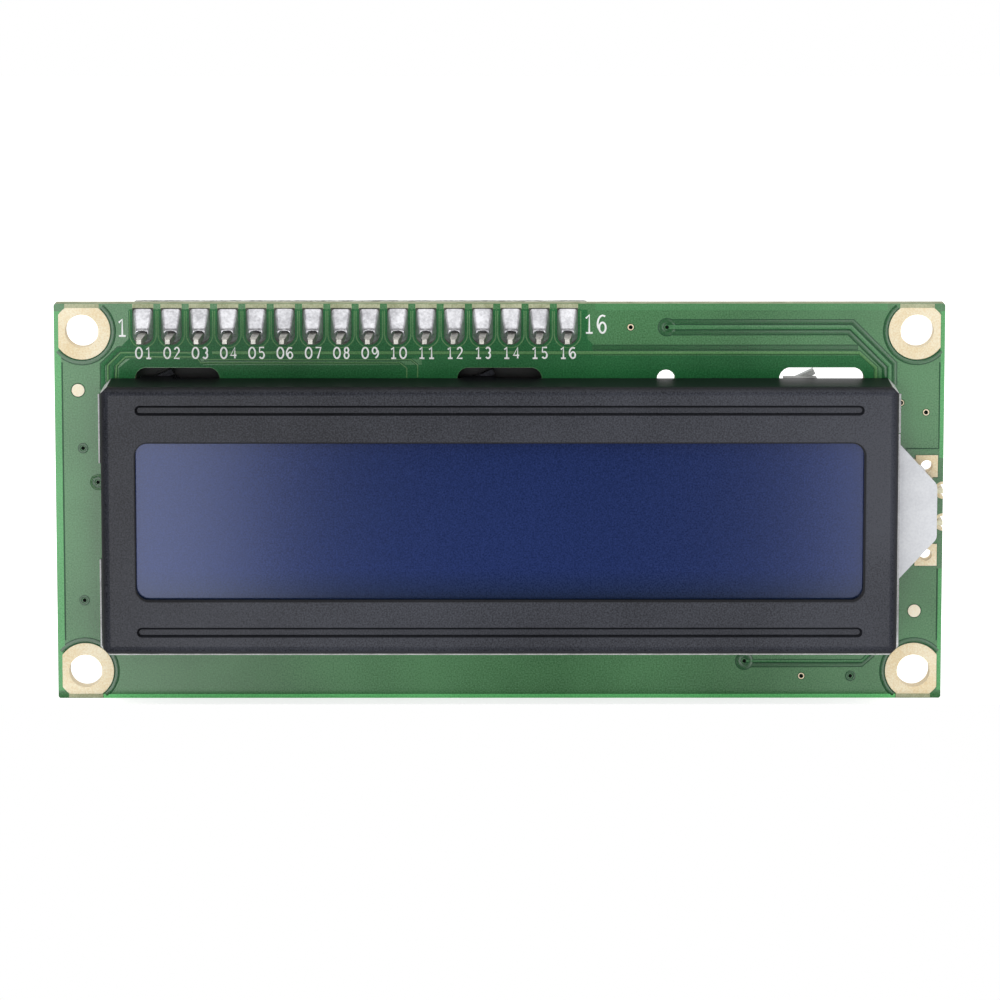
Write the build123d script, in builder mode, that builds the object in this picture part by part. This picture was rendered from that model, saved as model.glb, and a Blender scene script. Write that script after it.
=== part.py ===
"""Character LCD module, 16 by 2, with a serial bus adapter board soldered behind its pin header.

The module stands upright: +X to the right and +Z up as the display is read, with the display
facing -Y. The origin is the middle of the four mounting holes, on the front face of the main board.
All sizes are millimetres.
"""

import os
from math import hypot, radians, sqrt, tan

from build123d import *

# Main board
board_width = 80.0
board_height = 36.0
board_thickness = 1.6
board_corner = 0.15
octagon_sides = 8
drill_sides = 6
round_sides = 16
mount_inset = 2.5
mount_hole_diameter = 3.0
mount_ring_diameter = 5.2
mount_ring_sides = 20
copper_thickness = 0.05
copper_pullback = 0.4
peg_hole_diameter = 1.6
peg_hole_x = 14.95

# Sixteen-pin header that joins the two boards
header_count = 16
header_pitch = 2.54
header_left = 8.0
header_top = 2.8
header_strip_height = 2.54
pin_size = 0.64
pin_hole_clearance = 0.1
pin_point = 0.16
front_pin_rise = 4.5
back_pin_rise = 1.4
header_pad_width = 1.85
solder_margin = 0.06
solder_wrap = 0.14
solder_waist_rise = 0.65
solder_waist_inset = 0.38
front_solder_rise = 1.5
cone_solder_rise = 0.9
cone_solder_base = 0.82
cone_solder_sides = 6
cone_solder_slope = 20.0

# Pressed bezel
bezel_side_gap = 4.5
bezel_edge_gap = 5.95
bezel_drop = 0.8
sheet_thickness = 0.5
bend_radius = 0.8
window_side_border = 3.1
window_edge_border = 5.0
window_corner = 1.1
rib_inset = 2.05
rib_width = 0.9
rib_depth = 0.3
rib_slope = 35.0
corner_relief = 0.6
corner_relief_sides = 4
side_toe = 0.6
bottom_toe = 1.12
toe_top_gap = 1.4
toe_corner = 0.8
toe_thickness = 0.3
left_notch_width = 8.8
left_notch_height = 5.4
tab_count = 3
tab_end_inset = 6.55
tab_width = 3.0
tab_shift = 1.9
tab_twist = 25.0
tab_head = 1.1
tab_gap = 0.05
slot_length = 7.6
slot_width = 2.0
slot_shift = 0.2

# Display stack, from the board to the window
film_thickness = 0.15
guide_thickness = 3.0
polarizer_thickness = 0.2
glass_thickness = 1.1
glass_clearance = 0.3
contact_ledge = 2.6
zebra_width = 2.0
zebra_end_gap = 3.0
zebra_clearance = 0.25
polarizer_overlap = 1.2
guide_clearance = 0.3

# Backlight tongue, its light source and the pads beside it
tongue_lift = 0.4
tongue_root_width = 12.9
tongue_tip_width = 4.9
tongue_tip_corner = 0.8
tongue_edge_gap = 0.8
tongue_clearance = 0.25
led_width = 3.4
led_depth = 1.3
led_height = 1.7
led_clearance = 0.1
led_leg_size = 0.4
led_leg_spacing = 2.9
led_leg_rise = 0.3
led_leg_edge_gap = 0.05
led_pad_size = 2.0
led_pad_spacing = 8.1
led_pad_inset = 1.5
led_pad_hole = 1.1

# Parts on the back of the main board
blob_diameter = 11.0
blob_sides = 20
blob_rim_height = 0.8
blob_rise = 0.7
blob_shoulder = 2.6
blob_spacing = 28.0
blob_drop = 6.3
large_chip_length = 2.0
large_chip_width = 1.25
large_chip_height = 0.55
board_resistor_count = 7
board_resistor_step = 3.0
board_resistor_inset = 26.0
board_resistor_lift = 5.0
board_capacitor_step = 6.0
board_capacitor_inset = 20.0
board_capacitor_lift = 1.0

# Adapter board
adapter_left_margin = 1.1
adapter_right_margin = 1.8
adapter_top_margin = 2.45
adapter_height = 19.0
adapter_thickness = 1.6
adapter_corner = 0.1
part_line_lift = 8.0

# Bus expander chip on the adapter
expander_lead_count = 8
expander_pitch = 1.27
expander_end = 0.7
expander_width = 7.5
expander_height = 2.3
expander_standoff = 0.2
expander_draft = 0.35
expander_shift = 12.5
lead_width = 0.42
lead_thickness = 0.25
lead_shoulder = 0.35
lead_drop = 0.25
lead_foot = 0.85

# Contrast trimmer on the adapter
trimmer_size = 6.8
trimmer_height = 4.8
trimmer_edge = 0.4
trimmer_shift = 24.6
rotor_diameter = 3.8
rotor_thickness = 0.9
rotor_stem_diameter = 1.6
rotor_stem_length = 1.5
rotor_slot_width = 0.6
rotor_slot_length = 2.7
rotor_slot_depth = 0.5
running_clearance = 0.08
leg_size = 0.5
leg_spacing = 5.08
leg_stagger = 2.54
leg_rise = 0.9

# Angled headers on the adapter, and the jumper
bus_count = 4
jumper_count = 2
angle_hole_inset = 3.4
angle_strip_depth = 2.5
angle_strip_height = 2.54
angle_pin_reach = 6.0
angle_tail_rise = 1.0
cap_wall = 0.5
cap_length = 5.9
cap_gap = 0.1
cap_side_room = 0.35
clip_thickness = 0.3
clip_end_gap = 0.5

# Small parts on the adapter
small_chip_length = 1.6
small_chip_width = 0.8
small_chip_height = 0.45
resistor_count = 6
resistor_start = 8.5
resistor_step = 2.8
resistor_lift = 1.4
capacitor_gap = 1.8
power_led_inset = 6.9
power_led_lift = 2.2
power_led_height = 0.75
transistor_inset = 7.6
transistor_lift = 12.4
transistor_length = 2.9
transistor_width = 1.3
transistor_height = 1.0
transistor_standoff = 0.08
transistor_pitch = 0.95
transistor_lead_width = 0.4
transistor_lead_thickness = 0.14
transistor_shoulder = 0.15
transistor_foot = 0.4

# Places worked out from the sizes above. Heights are measured from the board's front face,
# towards the reader, and depths the other way.
board_right = board_width / 2
board_top = board_height / 2
mount_spacing_x = board_width - 2 * mount_inset
mount_spacing_y = board_height - 2 * mount_inset
header_length = (header_count - 1) * header_pitch
header_first_x = header_left - board_right
header_y = board_top - header_top
octagon_half_angle = 180 / octagon_sides
pin_hole_diameter = pin_size * sqrt(2) + pin_hole_clearance
seat = copper_thickness
reflector_front = seat + film_thickness
guide_front = reflector_front + guide_thickness
diffuser_front = guide_front + film_thickness
rear_polarizer_front = diffuser_front + polarizer_thickness
rear_glass_front = rear_polarizer_front + glass_thickness
front_glass_front = rear_glass_front + glass_thickness
bezel_front = front_glass_front + rib_depth + sheet_thickness
bezel_width = board_width - 2 * bezel_side_gap
bezel_height = board_height - 2 * bezel_edge_gap
bezel_y = -bezel_drop
tab_line = (bezel_height - sheet_thickness) / 2
tab_pitch = bezel_width / 2 - tab_end_inset
foot_reach = sheet_thickness + side_toe
window_width = bezel_width - 2 * window_side_border
window_height = bezel_height - 2 * window_edge_border
glass_width = bezel_width - 2 * sheet_thickness - 2 * glass_clearance
glass_height = bezel_height - 2 * sheet_thickness - 2 * glass_clearance
guide_width = glass_width - 2 * guide_clearance
guide_height = glass_height - 2 * contact_ledge
zebra_offset = guide_height / 2 + zebra_clearance + zebra_width / 2
tongue_y = bezel_y + tongue_lift
tongue_tip_x = board_right - tongue_edge_gap
led_centre_x = tongue_tip_x - led_depth / 2 - led_clearance
led_leg_x = board_right - led_leg_edge_gap - led_leg_size / 2
led_notch_radius = hypot(led_leg_size + led_leg_edge_gap, led_leg_size / 2) + pin_hole_clearance
solder_foot = copper_thickness
solder_waist = solder_foot + solder_waist_rise
solder_top = solder_foot + front_solder_rise
solder_foot_half = header_pad_width / 2 - solder_margin
solder_waist_half = header_pad_width / 2 - solder_waist_inset
solder_top_half = pin_size / 2 + solder_wrap
solder_reach = header_top - copper_pullback - solder_margin
adapter_front_depth = board_thickness + header_strip_height
adapter_back_depth = adapter_front_depth + adapter_thickness
adapter_left = header_first_x - adapter_left_margin
adapter_right = header_first_x + header_length + adapter_right_margin
adapter_width = adapter_right - adapter_left
adapter_x = (adapter_left + adapter_right) / 2
adapter_y = header_y + adapter_top_margin - adapter_height / 2
adapter_bottom = adapter_y - adapter_height / 2
part_line = adapter_bottom + part_line_lift
expander_x = adapter_left + expander_shift
expander_length = (expander_lead_count - 1) * expander_pitch + 2 * expander_end
trimmer_x = adapter_left + trimmer_shift
bus_hole_x = adapter_left + angle_hole_inset
jumper_hole_x = adapter_right - angle_hole_inset
angle_pin_depth = adapter_back_depth + angle_strip_height / 2
leg_hole_diameter = leg_size * sqrt(2) + pin_hole_clearance


def level(height, x=0, y=0):
    """Plane parallel to the main board, this far in front of it, about a point as the display is read."""
    return Plane(origin=(x, -height, y), x_dir=(1, 0, 0), z_dir=(0, -1, 0))


def header_points():
    """Pattern of the sixteen header pins, as the display is read."""
    return [(header_first_x + i * header_pitch, header_y) for i in range(header_count)]


def bullet(width, top):
    """Outline with a flat upper end at the height given and a lower end like half an octagon."""
    flat = width / 2 * tan(radians(octagon_half_angle))
    with BuildLine() as outline:
        Polyline(
            (width / 2, -flat),
            (width / 2, top),
            (-width / 2, top),
            (-width / 2, -flat),
            (-flat, -width / 2),
            (flat, -width / 2),
            close=True,
        )
    make_face(outline.edges())


def drilled(diameter, sides):
    """Drilled hole in a sketch, drawn as a polygon that clears the diameter given."""
    RegularPolygon(diameter / 2, sides, major_radius=False, mode=Mode.SUBTRACT)


def milled(length, width):
    """Milled slot in a sketch, its round ends drawn as half polygons."""
    Rectangle(length - width, width, mode=Mode.SUBTRACT)
    with GridLocations(length - width, 0, 2, 1):
        RegularPolygon(
            width / 2, round_sides, major_radius=False, rotation=180 / round_sides, mode=Mode.SUBTRACT
        )


# Main board: glass-fibre laminate with every hole drilled and the slots for the bezel tabs milled
with BuildPart() as main_board:
    with BuildSketch(level(0)):
        board_outline = Rectangle(board_width, board_height)
        chamfer(board_outline.vertices(), board_corner)
        with GridLocations(mount_spacing_x, mount_spacing_y, 2, 2):
            Circle(mount_hole_diameter / 2, mode=Mode.SUBTRACT)
        with Locations(*header_points()):
            drilled(pin_hole_diameter, drill_sides)
        for side in (1, -1):
            with Locations((0, bezel_y + side * (tab_line + slot_shift))):
                with GridLocations(tab_pitch, 0, tab_count, 1):
                    milled(slot_length, slot_width)
        with Locations((peg_hole_x, bezel_y + tab_line + slot_shift)):
            drilled(peg_hole_diameter, round_sides)
        with Locations((board_right - led_pad_inset, bezel_y)):
            with GridLocations(0, led_pad_spacing, 1, 2):
                drilled(led_pad_hole, round_sides)
        with Locations((board_right, tongue_y)):
            with GridLocations(0, led_leg_spacing, 1, 2):
                drilled(2 * led_notch_radius, round_sides)
    extrude(amount=-board_thickness)

# Plated rings of the mounting holes on both faces, trimmed clear of the board's edge
with BuildPart() as mounting_rings:
    for face_height, outward in ((0, 1), (-board_thickness, -1)):
        with BuildSketch(level(face_height)):
            with GridLocations(mount_spacing_x, mount_spacing_y, 2, 2):
                RegularPolygon(mount_ring_diameter / 2, mount_ring_sides)
            Rectangle(
                board_width - 2 * copper_pullback,
                board_height - 2 * copper_pullback,
                mode=Mode.INTERSECT,
            )
            with GridLocations(mount_spacing_x, mount_spacing_y, 2, 2):
                RegularPolygon(
                    mount_hole_diameter / 2, mount_ring_sides, major_radius=False, mode=Mode.SUBTRACT
                )
        extrude(amount=outward * copper_thickness)

# Header pads, round about the hole and run out towards the top edge
with BuildPart() as header_pads:
    for pad_x, pad_y in header_points():
        with BuildSketch(level(0, pad_x, pad_y)):
            bullet(header_pad_width, header_top - copper_pullback)
            drilled(pin_hole_diameter, drill_sides)
        extrude(amount=copper_thickness)

# Two square pads for a wired backlight, beside the tongue
with BuildPart() as backlight_pads:
    with BuildSketch(level(0)):
        with Locations((board_right - led_pad_inset, bezel_y)):
            with GridLocations(0, led_pad_spacing, 1, 2):
                Rectangle(led_pad_size, led_pad_size)
                drilled(led_pad_hole, round_sides)
    extrude(amount=copper_thickness)

# Bezel: one pressed sheet with bent walls, a window, two stiffening ribs that press on the glass,
# open corners, a turned-out foot and six twisted tabs
with BuildPart() as bezel:
    with BuildSketch(level(seat)):
        with Locations((0, bezel_y)):
            Rectangle(bezel_width, bezel_height)
    extrude(amount=bezel_front - seat)
    fillet(bezel.faces().sort_by(Axis.Y)[0].edges(), bend_radius)
    offset(amount=-sheet_thickness, openings=bezel.faces().sort_by(Axis.Y)[-1])
    with BuildSketch(level(seat)):
        with Locations((0, bezel_y)):
            with GridLocations(bezel_width, bezel_height, 2, 2):
                RegularPolygon(corner_relief, corner_relief_sides)
    extrude(amount=bezel_front - seat, mode=Mode.SUBTRACT)
    with BuildSketch(level(seat)):
        with Locations((0, bezel_y - (toe_top_gap + bottom_toe) / 2)):
            foot_outline = Rectangle(bezel_width + 2 * side_toe, bezel_height - toe_top_gap + bottom_toe)
        chamfer(foot_outline.vertices().group_by(Axis.Y)[0], toe_corner)
        with Locations((0, bezel_y)):
            Rectangle(
                bezel_width - 2 * sheet_thickness, bezel_height - 2 * sheet_thickness, mode=Mode.SUBTRACT
            )
    extrude(amount=toe_thickness)
    with BuildSketch(level(bezel_front)):
        with Locations((0, bezel_y)):
            RectangleRounded(window_width, window_height, window_corner)
    extrude(amount=-sheet_thickness, mode=Mode.SUBTRACT)
    for side in (1, -1):
        rib_y = bezel_y + side * (bezel_height / 2 - rib_inset)
        with BuildSketch(level(bezel_front - sheet_thickness)):
            with Locations((0, rib_y)):
                Rectangle(window_width + 2 * rib_depth, rib_width + 2 * rib_depth)
        extrude(amount=-rib_depth)
        with BuildSketch(level(bezel_front)):
            with Locations((0, rib_y)):
                SlotOverall(window_width, rib_width)
        extrude(amount=-rib_depth, taper=rib_slope, mode=Mode.SUBTRACT)
    with BuildSketch(level(seat)):
        with Locations((-bezel_width / 2, bezel_y)):
            Rectangle(2 * foot_reach, left_notch_width)
    extrude(amount=left_notch_height, mode=Mode.SUBTRACT)
    with BuildSketch(level(seat)):
        with Locations((bezel_width / 2, tongue_y)):
            Rectangle(2 * foot_reach, tongue_root_width + 2 * tongue_clearance)
    extrude(amount=diffuser_front + tongue_clearance - seat, mode=Mode.SUBTRACT)
    for side in (1, -1):
        with BuildSketch(level(seat)):
            with Locations((-tab_shift, bezel_y + side * tab_line)):
                with GridLocations(tab_pitch, 0, tab_count, 1):
                    Rectangle(tab_width, sheet_thickness)
        extrude(amount=-seat - board_thickness - tab_gap)
        with BuildSketch(level(-board_thickness - tab_gap)):
            with Locations((-tab_shift, bezel_y + side * tab_line)):
                with GridLocations(tab_pitch, 0, tab_count, 1):
                    Rectangle(tab_width, sheet_thickness, rotation=tab_twist)
        extrude(amount=-tab_head)

# Display glass: the front plate overhangs the rear one along both long edges, where the contacts are
with BuildPart() as front_glass:
    with BuildSketch(level(rear_glass_front)):
        with Locations((0, bezel_y)):
            Rectangle(glass_width, glass_height)
    extrude(amount=glass_thickness)

with BuildPart() as rear_glass:
    with BuildSketch(level(rear_polarizer_front)):
        with Locations((0, bezel_y)):
            Rectangle(glass_width, guide_height)
    extrude(amount=glass_thickness)

# Polarizing films on the two outer faces of the glass
with BuildPart() as front_polarizer:
    with BuildSketch(level(front_glass_front)):
        with Locations((0, bezel_y)):
            Rectangle(window_width + 2 * polarizer_overlap, window_height + 2 * polarizer_overlap)
    extrude(amount=polarizer_thickness)

with BuildPart() as rear_polarizer:
    with BuildSketch(level(diffuser_front)):
        with Locations((0, bezel_y)):
            Rectangle(guide_width, guide_height)
    extrude(amount=polarizer_thickness)

# Backlight: a clear plate with a tongue that carries the light source, between white films
with BuildPart() as light_guide:
    with BuildSketch(level(reflector_front)):
        with Locations((0, bezel_y)):
            Rectangle(guide_width, guide_height)
    extrude(amount=guide_thickness)
    with BuildSketch(level(reflector_front)) as tongue_outline:
        with BuildLine():
            Polyline(
                (guide_width / 2, tongue_y + tongue_root_width / 2),
                (bezel_width / 2, tongue_y + tongue_root_width / 2),
                (tongue_tip_x, tongue_y + tongue_tip_width / 2),
                (tongue_tip_x, tongue_y - tongue_tip_width / 2),
                (bezel_width / 2, tongue_y - tongue_root_width / 2),
                (guide_width / 2, tongue_y - tongue_root_width / 2),
                close=True,
            )
        make_face()
        fillet(tongue_outline.vertices().group_by(Axis.X)[-1], tongue_tip_corner)
    extrude(amount=guide_thickness)
    with BuildSketch(level(reflector_front)):
        with Locations((tongue_tip_x, tongue_y)):
            Rectangle(2 * (led_depth + 2 * led_clearance), led_width + 2 * led_clearance)
    extrude(amount=led_height + led_leg_rise, mode=Mode.SUBTRACT)

with BuildPart() as reflector_film:
    with BuildSketch(level(seat)):
        with Locations((0, bezel_y)):
            Rectangle(guide_width, guide_height)
    extrude(amount=film_thickness)

with BuildPart() as diffuser_film:
    with BuildSketch(level(guide_front)):
        with Locations((0, bezel_y)):
            Rectangle(guide_width, guide_height)
    extrude(amount=film_thickness)

# White film over the part of the tongue that shows outside the bezel
with BuildPart() as tongue_film:
    with BuildSketch(level(guide_front)):
        add(tongue_outline.sketch_local)
        with Locations((bezel_width / 2 - sheet_thickness, tongue_y)):
            Rectangle(
                tongue_tip_x - bezel_width / 2 + sheet_thickness,
                tongue_root_width,
                align=(Align.MIN, Align.CENTER),
                mode=Mode.INTERSECT,
            )
    extrude(amount=film_thickness)

# Light source in the tip of the tongue, its two legs bent out to the half holes in the board's edge
with BuildPart() as backlight_led:
    with BuildSketch(level(reflector_front)):
        with Locations((led_centre_x, tongue_y)):
            Rectangle(led_depth, led_width)
    extrude(amount=led_height)
    chamfer(backlight_led.edges().filter_by(Axis.Y), led_leg_size / 2)
    with BuildSketch(level(reflector_front)):
        with Locations(((led_centre_x + led_leg_x + led_leg_size / 2) / 2, tongue_y)):
            with GridLocations(0, led_leg_spacing, 1, 2):
                Rectangle(led_leg_x + led_leg_size / 2 - led_centre_x, led_leg_size)
    extrude(amount=led_leg_size)
    with BuildSketch(level(reflector_front)):
        with Locations((led_leg_x, tongue_y)):
            with GridLocations(0, led_leg_spacing, 1, 2):
                Rectangle(led_leg_size, led_leg_size)
    extrude(amount=-reflector_front - board_thickness - led_leg_rise)


def zebra_strip(side):
    """Striped rubber connector between the board and the overhang of the front glass."""
    with BuildPart() as strip:
        with BuildSketch(level(seat)):
            with Locations((0, bezel_y + side * zebra_offset)):
                Rectangle(glass_width - 2 * zebra_end_gap, zebra_width)
        extrude(amount=rear_glass_front - seat)
    return strip


upper_zebra_strip = zebra_strip(1)
lower_zebra_strip = zebra_strip(-1)


def epoxy_blob(side):
    """Domed drop of black epoxy over a bare chip on the back of the main board."""
    with BuildPart() as drop:
        with BuildSketch(level(-board_thickness, side * blob_spacing / 2, -blob_drop)):
            RegularPolygon(blob_diameter / 2, blob_sides)
        extrude(amount=-blob_rim_height - blob_rise)
        crown = drop.faces().sort_by(Axis.Y)[-1]
        chamfer(crown.edges(), blob_shoulder, blob_rise, reference=crown)
    return drop


controller_blob = epoxy_blob(-1)
driver_blob = epoxy_blob(1)


def chip_row(places, depth, across, upright, height):
    """Row of small chip parts standing on a board face at the depth given, as one group."""
    with BuildPart() as row:
        with BuildSketch(level(-depth)):
            with Locations(*places):
                Rectangle(across, upright)
        extrude(amount=-height)
    return row


board_resistors = chip_row(
    [
        (board_right - board_resistor_inset + i * board_resistor_step, board_resistor_lift)
        for i in range(board_resistor_count)
    ],
    board_thickness,
    large_chip_width,
    large_chip_length,
    large_chip_height,
)
board_capacitors = chip_row(
    [
        (board_right - board_capacitor_inset, board_capacitor_lift),
        (board_right - board_capacitor_inset + board_capacitor_step, board_capacitor_lift),
    ],
    board_thickness,
    large_chip_length,
    large_chip_width,
    large_chip_width,
)

# Header strip: sixteen eight-sided cells moulded in a row, each gripping its pin
with BuildPart() as header_strip:
    with BuildSketch(level(-board_thickness)):
        with Locations(*header_points()):
            RegularPolygon(
                header_pitch / 2, octagon_sides, major_radius=False, rotation=octagon_half_angle
            )
        with Locations(*header_points()):
            Rectangle(pin_size, pin_size, mode=Mode.SUBTRACT)
    extrude(amount=-header_strip_height)

# Header pins: square wire through both boards, with pointed ends
with BuildPart() as header_pins:
    with BuildSketch(level(front_pin_rise)):
        with Locations(*header_points()):
            Rectangle(pin_size, pin_size)
    extrude(amount=-front_pin_rise - adapter_back_depth - back_pin_rise)
    chamfer(header_pins.faces().filter_by(Axis.Y).edges(), pin_point)

# Solder on the front: a ramp from the end of each pad, up and round the pin, narrower as it rises
with BuildPart() as front_joint:
    with BuildSketch(Plane.YZ.offset(header_first_x)):
        with BuildLine():
            Polyline(
                (-solder_foot, header_y + solder_reach),
                (-solder_waist, header_y + solder_reach - 2 * solder_waist_inset),
                (-solder_top, header_y + solder_top_half),
                (-solder_top, header_y - solder_top_half),
                (-solder_waist, header_y - solder_waist_half),
                (-solder_foot, header_y - solder_foot_half),
                close=True,
            )
        make_face()
    extrude(amount=solder_foot_half, both=True)
    with BuildSketch(Plane.XY.offset(header_y)):
        with BuildLine():
            Polyline(
                (header_first_x + solder_foot_half, -solder_foot),
                (header_first_x + solder_waist_half, -solder_waist),
                (header_first_x + solder_top_half, -solder_top),
                (header_first_x - solder_top_half, -solder_top),
                (header_first_x - solder_waist_half, -solder_waist),
                (header_first_x - solder_foot_half, -solder_foot),
                close=True,
            )
        make_face()
    extrude(amount=solder_reach, both=True, mode=Mode.INTERSECT)
    with BuildSketch(level(solder_foot, header_first_x, header_y)):
        Rectangle(pin_size, pin_size)
    extrude(amount=front_solder_rise, mode=Mode.SUBTRACT)

with BuildPart() as header_solder:
    with Locations(*[(i * header_pitch, 0, 0) for i in range(header_count)]):
        add(front_joint.part)


def solder_cones(places, face, rise, core):
    """Cones of solder about square pins, standing on the board face given."""
    with BuildPart() as cone:
        with BuildSketch(face):
            RegularPolygon(cone_solder_base, cone_solder_sides)
        extrude(amount=rise)
        draft(cone.faces().filter_by(Axis.Y, reverse=True), face, cone_solder_slope)
        with BuildSketch(face):
            Rectangle(core, core)
        extrude(amount=rise, mode=Mode.SUBTRACT)
    with BuildPart() as cones:
        with Locations(*[(x, 0, y) for x, y in places]):
            add(cone.part)
    return cones


# Adapter board, drilled for the header, the angled headers and the trimmer
bus_places = [(bus_hole_x, part_line + (i - (bus_count - 1) / 2) * header_pitch) for i in range(bus_count)]
jumper_places = [
    (jumper_hole_x, part_line + (i - (jumper_count - 1) / 2) * header_pitch) for i in range(jumper_count)
]
leg_places = [
    (trimmer_x - leg_spacing / 2, part_line - leg_stagger / 2),
    (trimmer_x, part_line + leg_stagger / 2),
    (trimmer_x + leg_spacing / 2, part_line - leg_stagger / 2),
]
with BuildPart() as adapter_board:
    with BuildSketch(level(-adapter_front_depth)):
        with Locations((adapter_x, adapter_y)):
            adapter_outline = Rectangle(adapter_width, adapter_height)
        chamfer(adapter_outline.vertices(), adapter_corner)
        with Locations(*header_points(), *bus_places, *jumper_places):
            drilled(pin_hole_diameter, drill_sides)
        with Locations(*leg_places):
            drilled(leg_hole_diameter, drill_sides)
    extrude(amount=-adapter_thickness)

# Expander chip: moulded body with drafted faces, and gull-wing leads along both long sides
with BuildPart() as expander_chip:
    with BuildSketch(level(-adapter_back_depth - expander_standoff)):
        with Locations((expander_x, part_line)):
            Rectangle(expander_length, expander_width)
    extrude(amount=-expander_height)
    chamfer(expander_chip.edges().group_by(Axis.Y)[-1], expander_draft)
    chamfer(expander_chip.edges().group_by(Axis.Y)[0], expander_draft)


def gull_lead(place_x, side_y, exit_depth, foot_depth, shoulder, foot, thickness, width, drop):
    """One formed lead, out of the upper side of a body, down to the board and outward."""
    with BuildPart() as lead:
        with BuildSketch(Plane.YZ.offset(place_x)):
            with BuildLine():
                Polyline(
                    (exit_depth, side_y),
                    (exit_depth, side_y + shoulder),
                    (foot_depth, side_y + shoulder + drop),
                    (foot_depth, side_y + shoulder + drop + foot),
                )
                offset(amount=thickness, side=Side.RIGHT, kind=Kind.INTERSECTION)
            make_face()
        extrude(amount=width / 2, both=True)
    return lead


expander_lead = gull_lead(
    expander_x - (expander_lead_count - 1) * expander_pitch / 2,
    part_line + expander_width / 2,
    adapter_back_depth + expander_standoff + expander_height / 2 - lead_thickness / 2,
    adapter_back_depth,
    lead_shoulder,
    lead_foot,
    lead_thickness,
    lead_width,
    lead_drop,
)
with BuildPart() as expander_leads:
    with Locations(*[(i * expander_pitch, 0, 0) for i in range(expander_lead_count)]):
        add(expander_lead.part)
    mirror(about=Plane.XY.offset(part_line))

# Trimmer body: a moulded block with a stepped bore for the rotor
with BuildPart() as trimmer_body:
    with BuildSketch(level(-adapter_back_depth)):
        with Locations((trimmer_x, part_line)):
            Rectangle(trimmer_size, trimmer_size)
    extrude(amount=-trimmer_height)
    chamfer(trimmer_body.edges().filter_by(Axis.Y), trimmer_edge)
    with Locations(Plane((trimmer_x, adapter_back_depth + trimmer_height, part_line), z_dir=(0, 1, 0))):
        CounterBoreHole(
            rotor_stem_diameter / 2 + running_clearance,
            rotor_diameter / 2 + running_clearance,
            rotor_thickness + running_clearance,
            rotor_thickness + rotor_stem_length + 2 * running_clearance,
        )

# Trimmer rotor: a disc on a stem, with a cross slot for a screwdriver
with BuildPart() as trimmer_rotor:
    with BuildSketch(level(-adapter_back_depth - trimmer_height)):
        with Locations((trimmer_x, part_line)):
            Circle(rotor_diameter / 2)
    extrude(amount=rotor_thickness)
    with BuildSketch(level(-adapter_back_depth - trimmer_height)):
        with Locations((trimmer_x, part_line)):
            Circle(rotor_stem_diameter / 2)
    extrude(amount=rotor_thickness + rotor_stem_length)
    with BuildSketch(level(-adapter_back_depth - trimmer_height)):
        with Locations((trimmer_x, part_line)):
            Rectangle(rotor_slot_length, rotor_slot_width)
            Rectangle(rotor_slot_width, rotor_slot_length)
    extrude(amount=rotor_slot_depth, mode=Mode.SUBTRACT)

# Trimmer legs: square wire from the block down through the adapter board
with BuildPart() as trimmer_legs:
    with BuildSketch(level(-adapter_back_depth)):
        with Locations(*leg_places):
            Rectangle(leg_size, leg_size)
    extrude(amount=adapter_thickness + leg_rise)


def angled_strip(places, strip_x):
    """Moulded strip of an angled header, lying on the back of the adapter along its edge."""
    with BuildPart() as strip:
        with BuildSketch(level(-adapter_back_depth)):
            with Locations(*[(strip_x, y) for x, y in places]):
                Rectangle(angle_strip_depth, header_pitch)
        extrude(amount=-angle_strip_height)
        with BuildSketch(Plane.YZ.offset(strip_x)):
            with Locations(*[(angle_pin_depth, y) for x, y in places]):
                Rectangle(pin_size, pin_size)
        extrude(amount=angle_strip_depth / 2, both=True, mode=Mode.SUBTRACT)
    return strip


def angled_pins(places, end_x):
    """Square pins soldered through the adapter and bent out past its edge."""
    with BuildPart() as pins:
        for hole_x, hole_y in places:
            outward = 1 if end_x > hole_x else -1
            corner_x = hole_x - outward * pin_size / 2
            tail_depth = adapter_front_depth - angle_tail_rise
            with BuildSketch(Plane.XY.offset(hole_y)):
                with BuildLine():
                    Polyline(
                        (corner_x, tail_depth),
                        (corner_x, angle_pin_depth + pin_size / 2),
                        (end_x, angle_pin_depth + pin_size / 2),
                        (end_x, angle_pin_depth - pin_size / 2),
                        (corner_x + outward * pin_size, angle_pin_depth - pin_size / 2),
                        (corner_x + outward * pin_size, tail_depth),
                        close=True,
                    )
                make_face()
            extrude(amount=pin_size / 2, both=True)
    return pins


# Four-pin bus header along the left edge, pointing left
bus_header_strip = angled_strip(bus_places, adapter_left + angle_strip_depth / 2)
bus_header_pins = angled_pins(bus_places, adapter_left - angle_pin_reach)

# Two-pin jumper header along the right edge, pointing right
jumper_header_strip = angled_strip(jumper_places, adapter_right - angle_strip_depth / 2)
jumper_header_pins = angled_pins(jumper_places, adapter_right + angle_pin_reach)

# Solder of the pins that end on the adapter
adapter_front = level(-adapter_front_depth)
adapter_back = -level(-adapter_back_depth)
adapter_header_solder = solder_cones(header_points(), adapter_back, cone_solder_rise, pin_size)
bus_header_solder = solder_cones(bus_places, adapter_front, cone_solder_rise, pin_size)
jumper_header_solder = solder_cones(jumper_places, adapter_front, cone_solder_rise, pin_size)
trimmer_solder = solder_cones(leg_places, adapter_front, leg_rise, leg_size)

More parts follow.
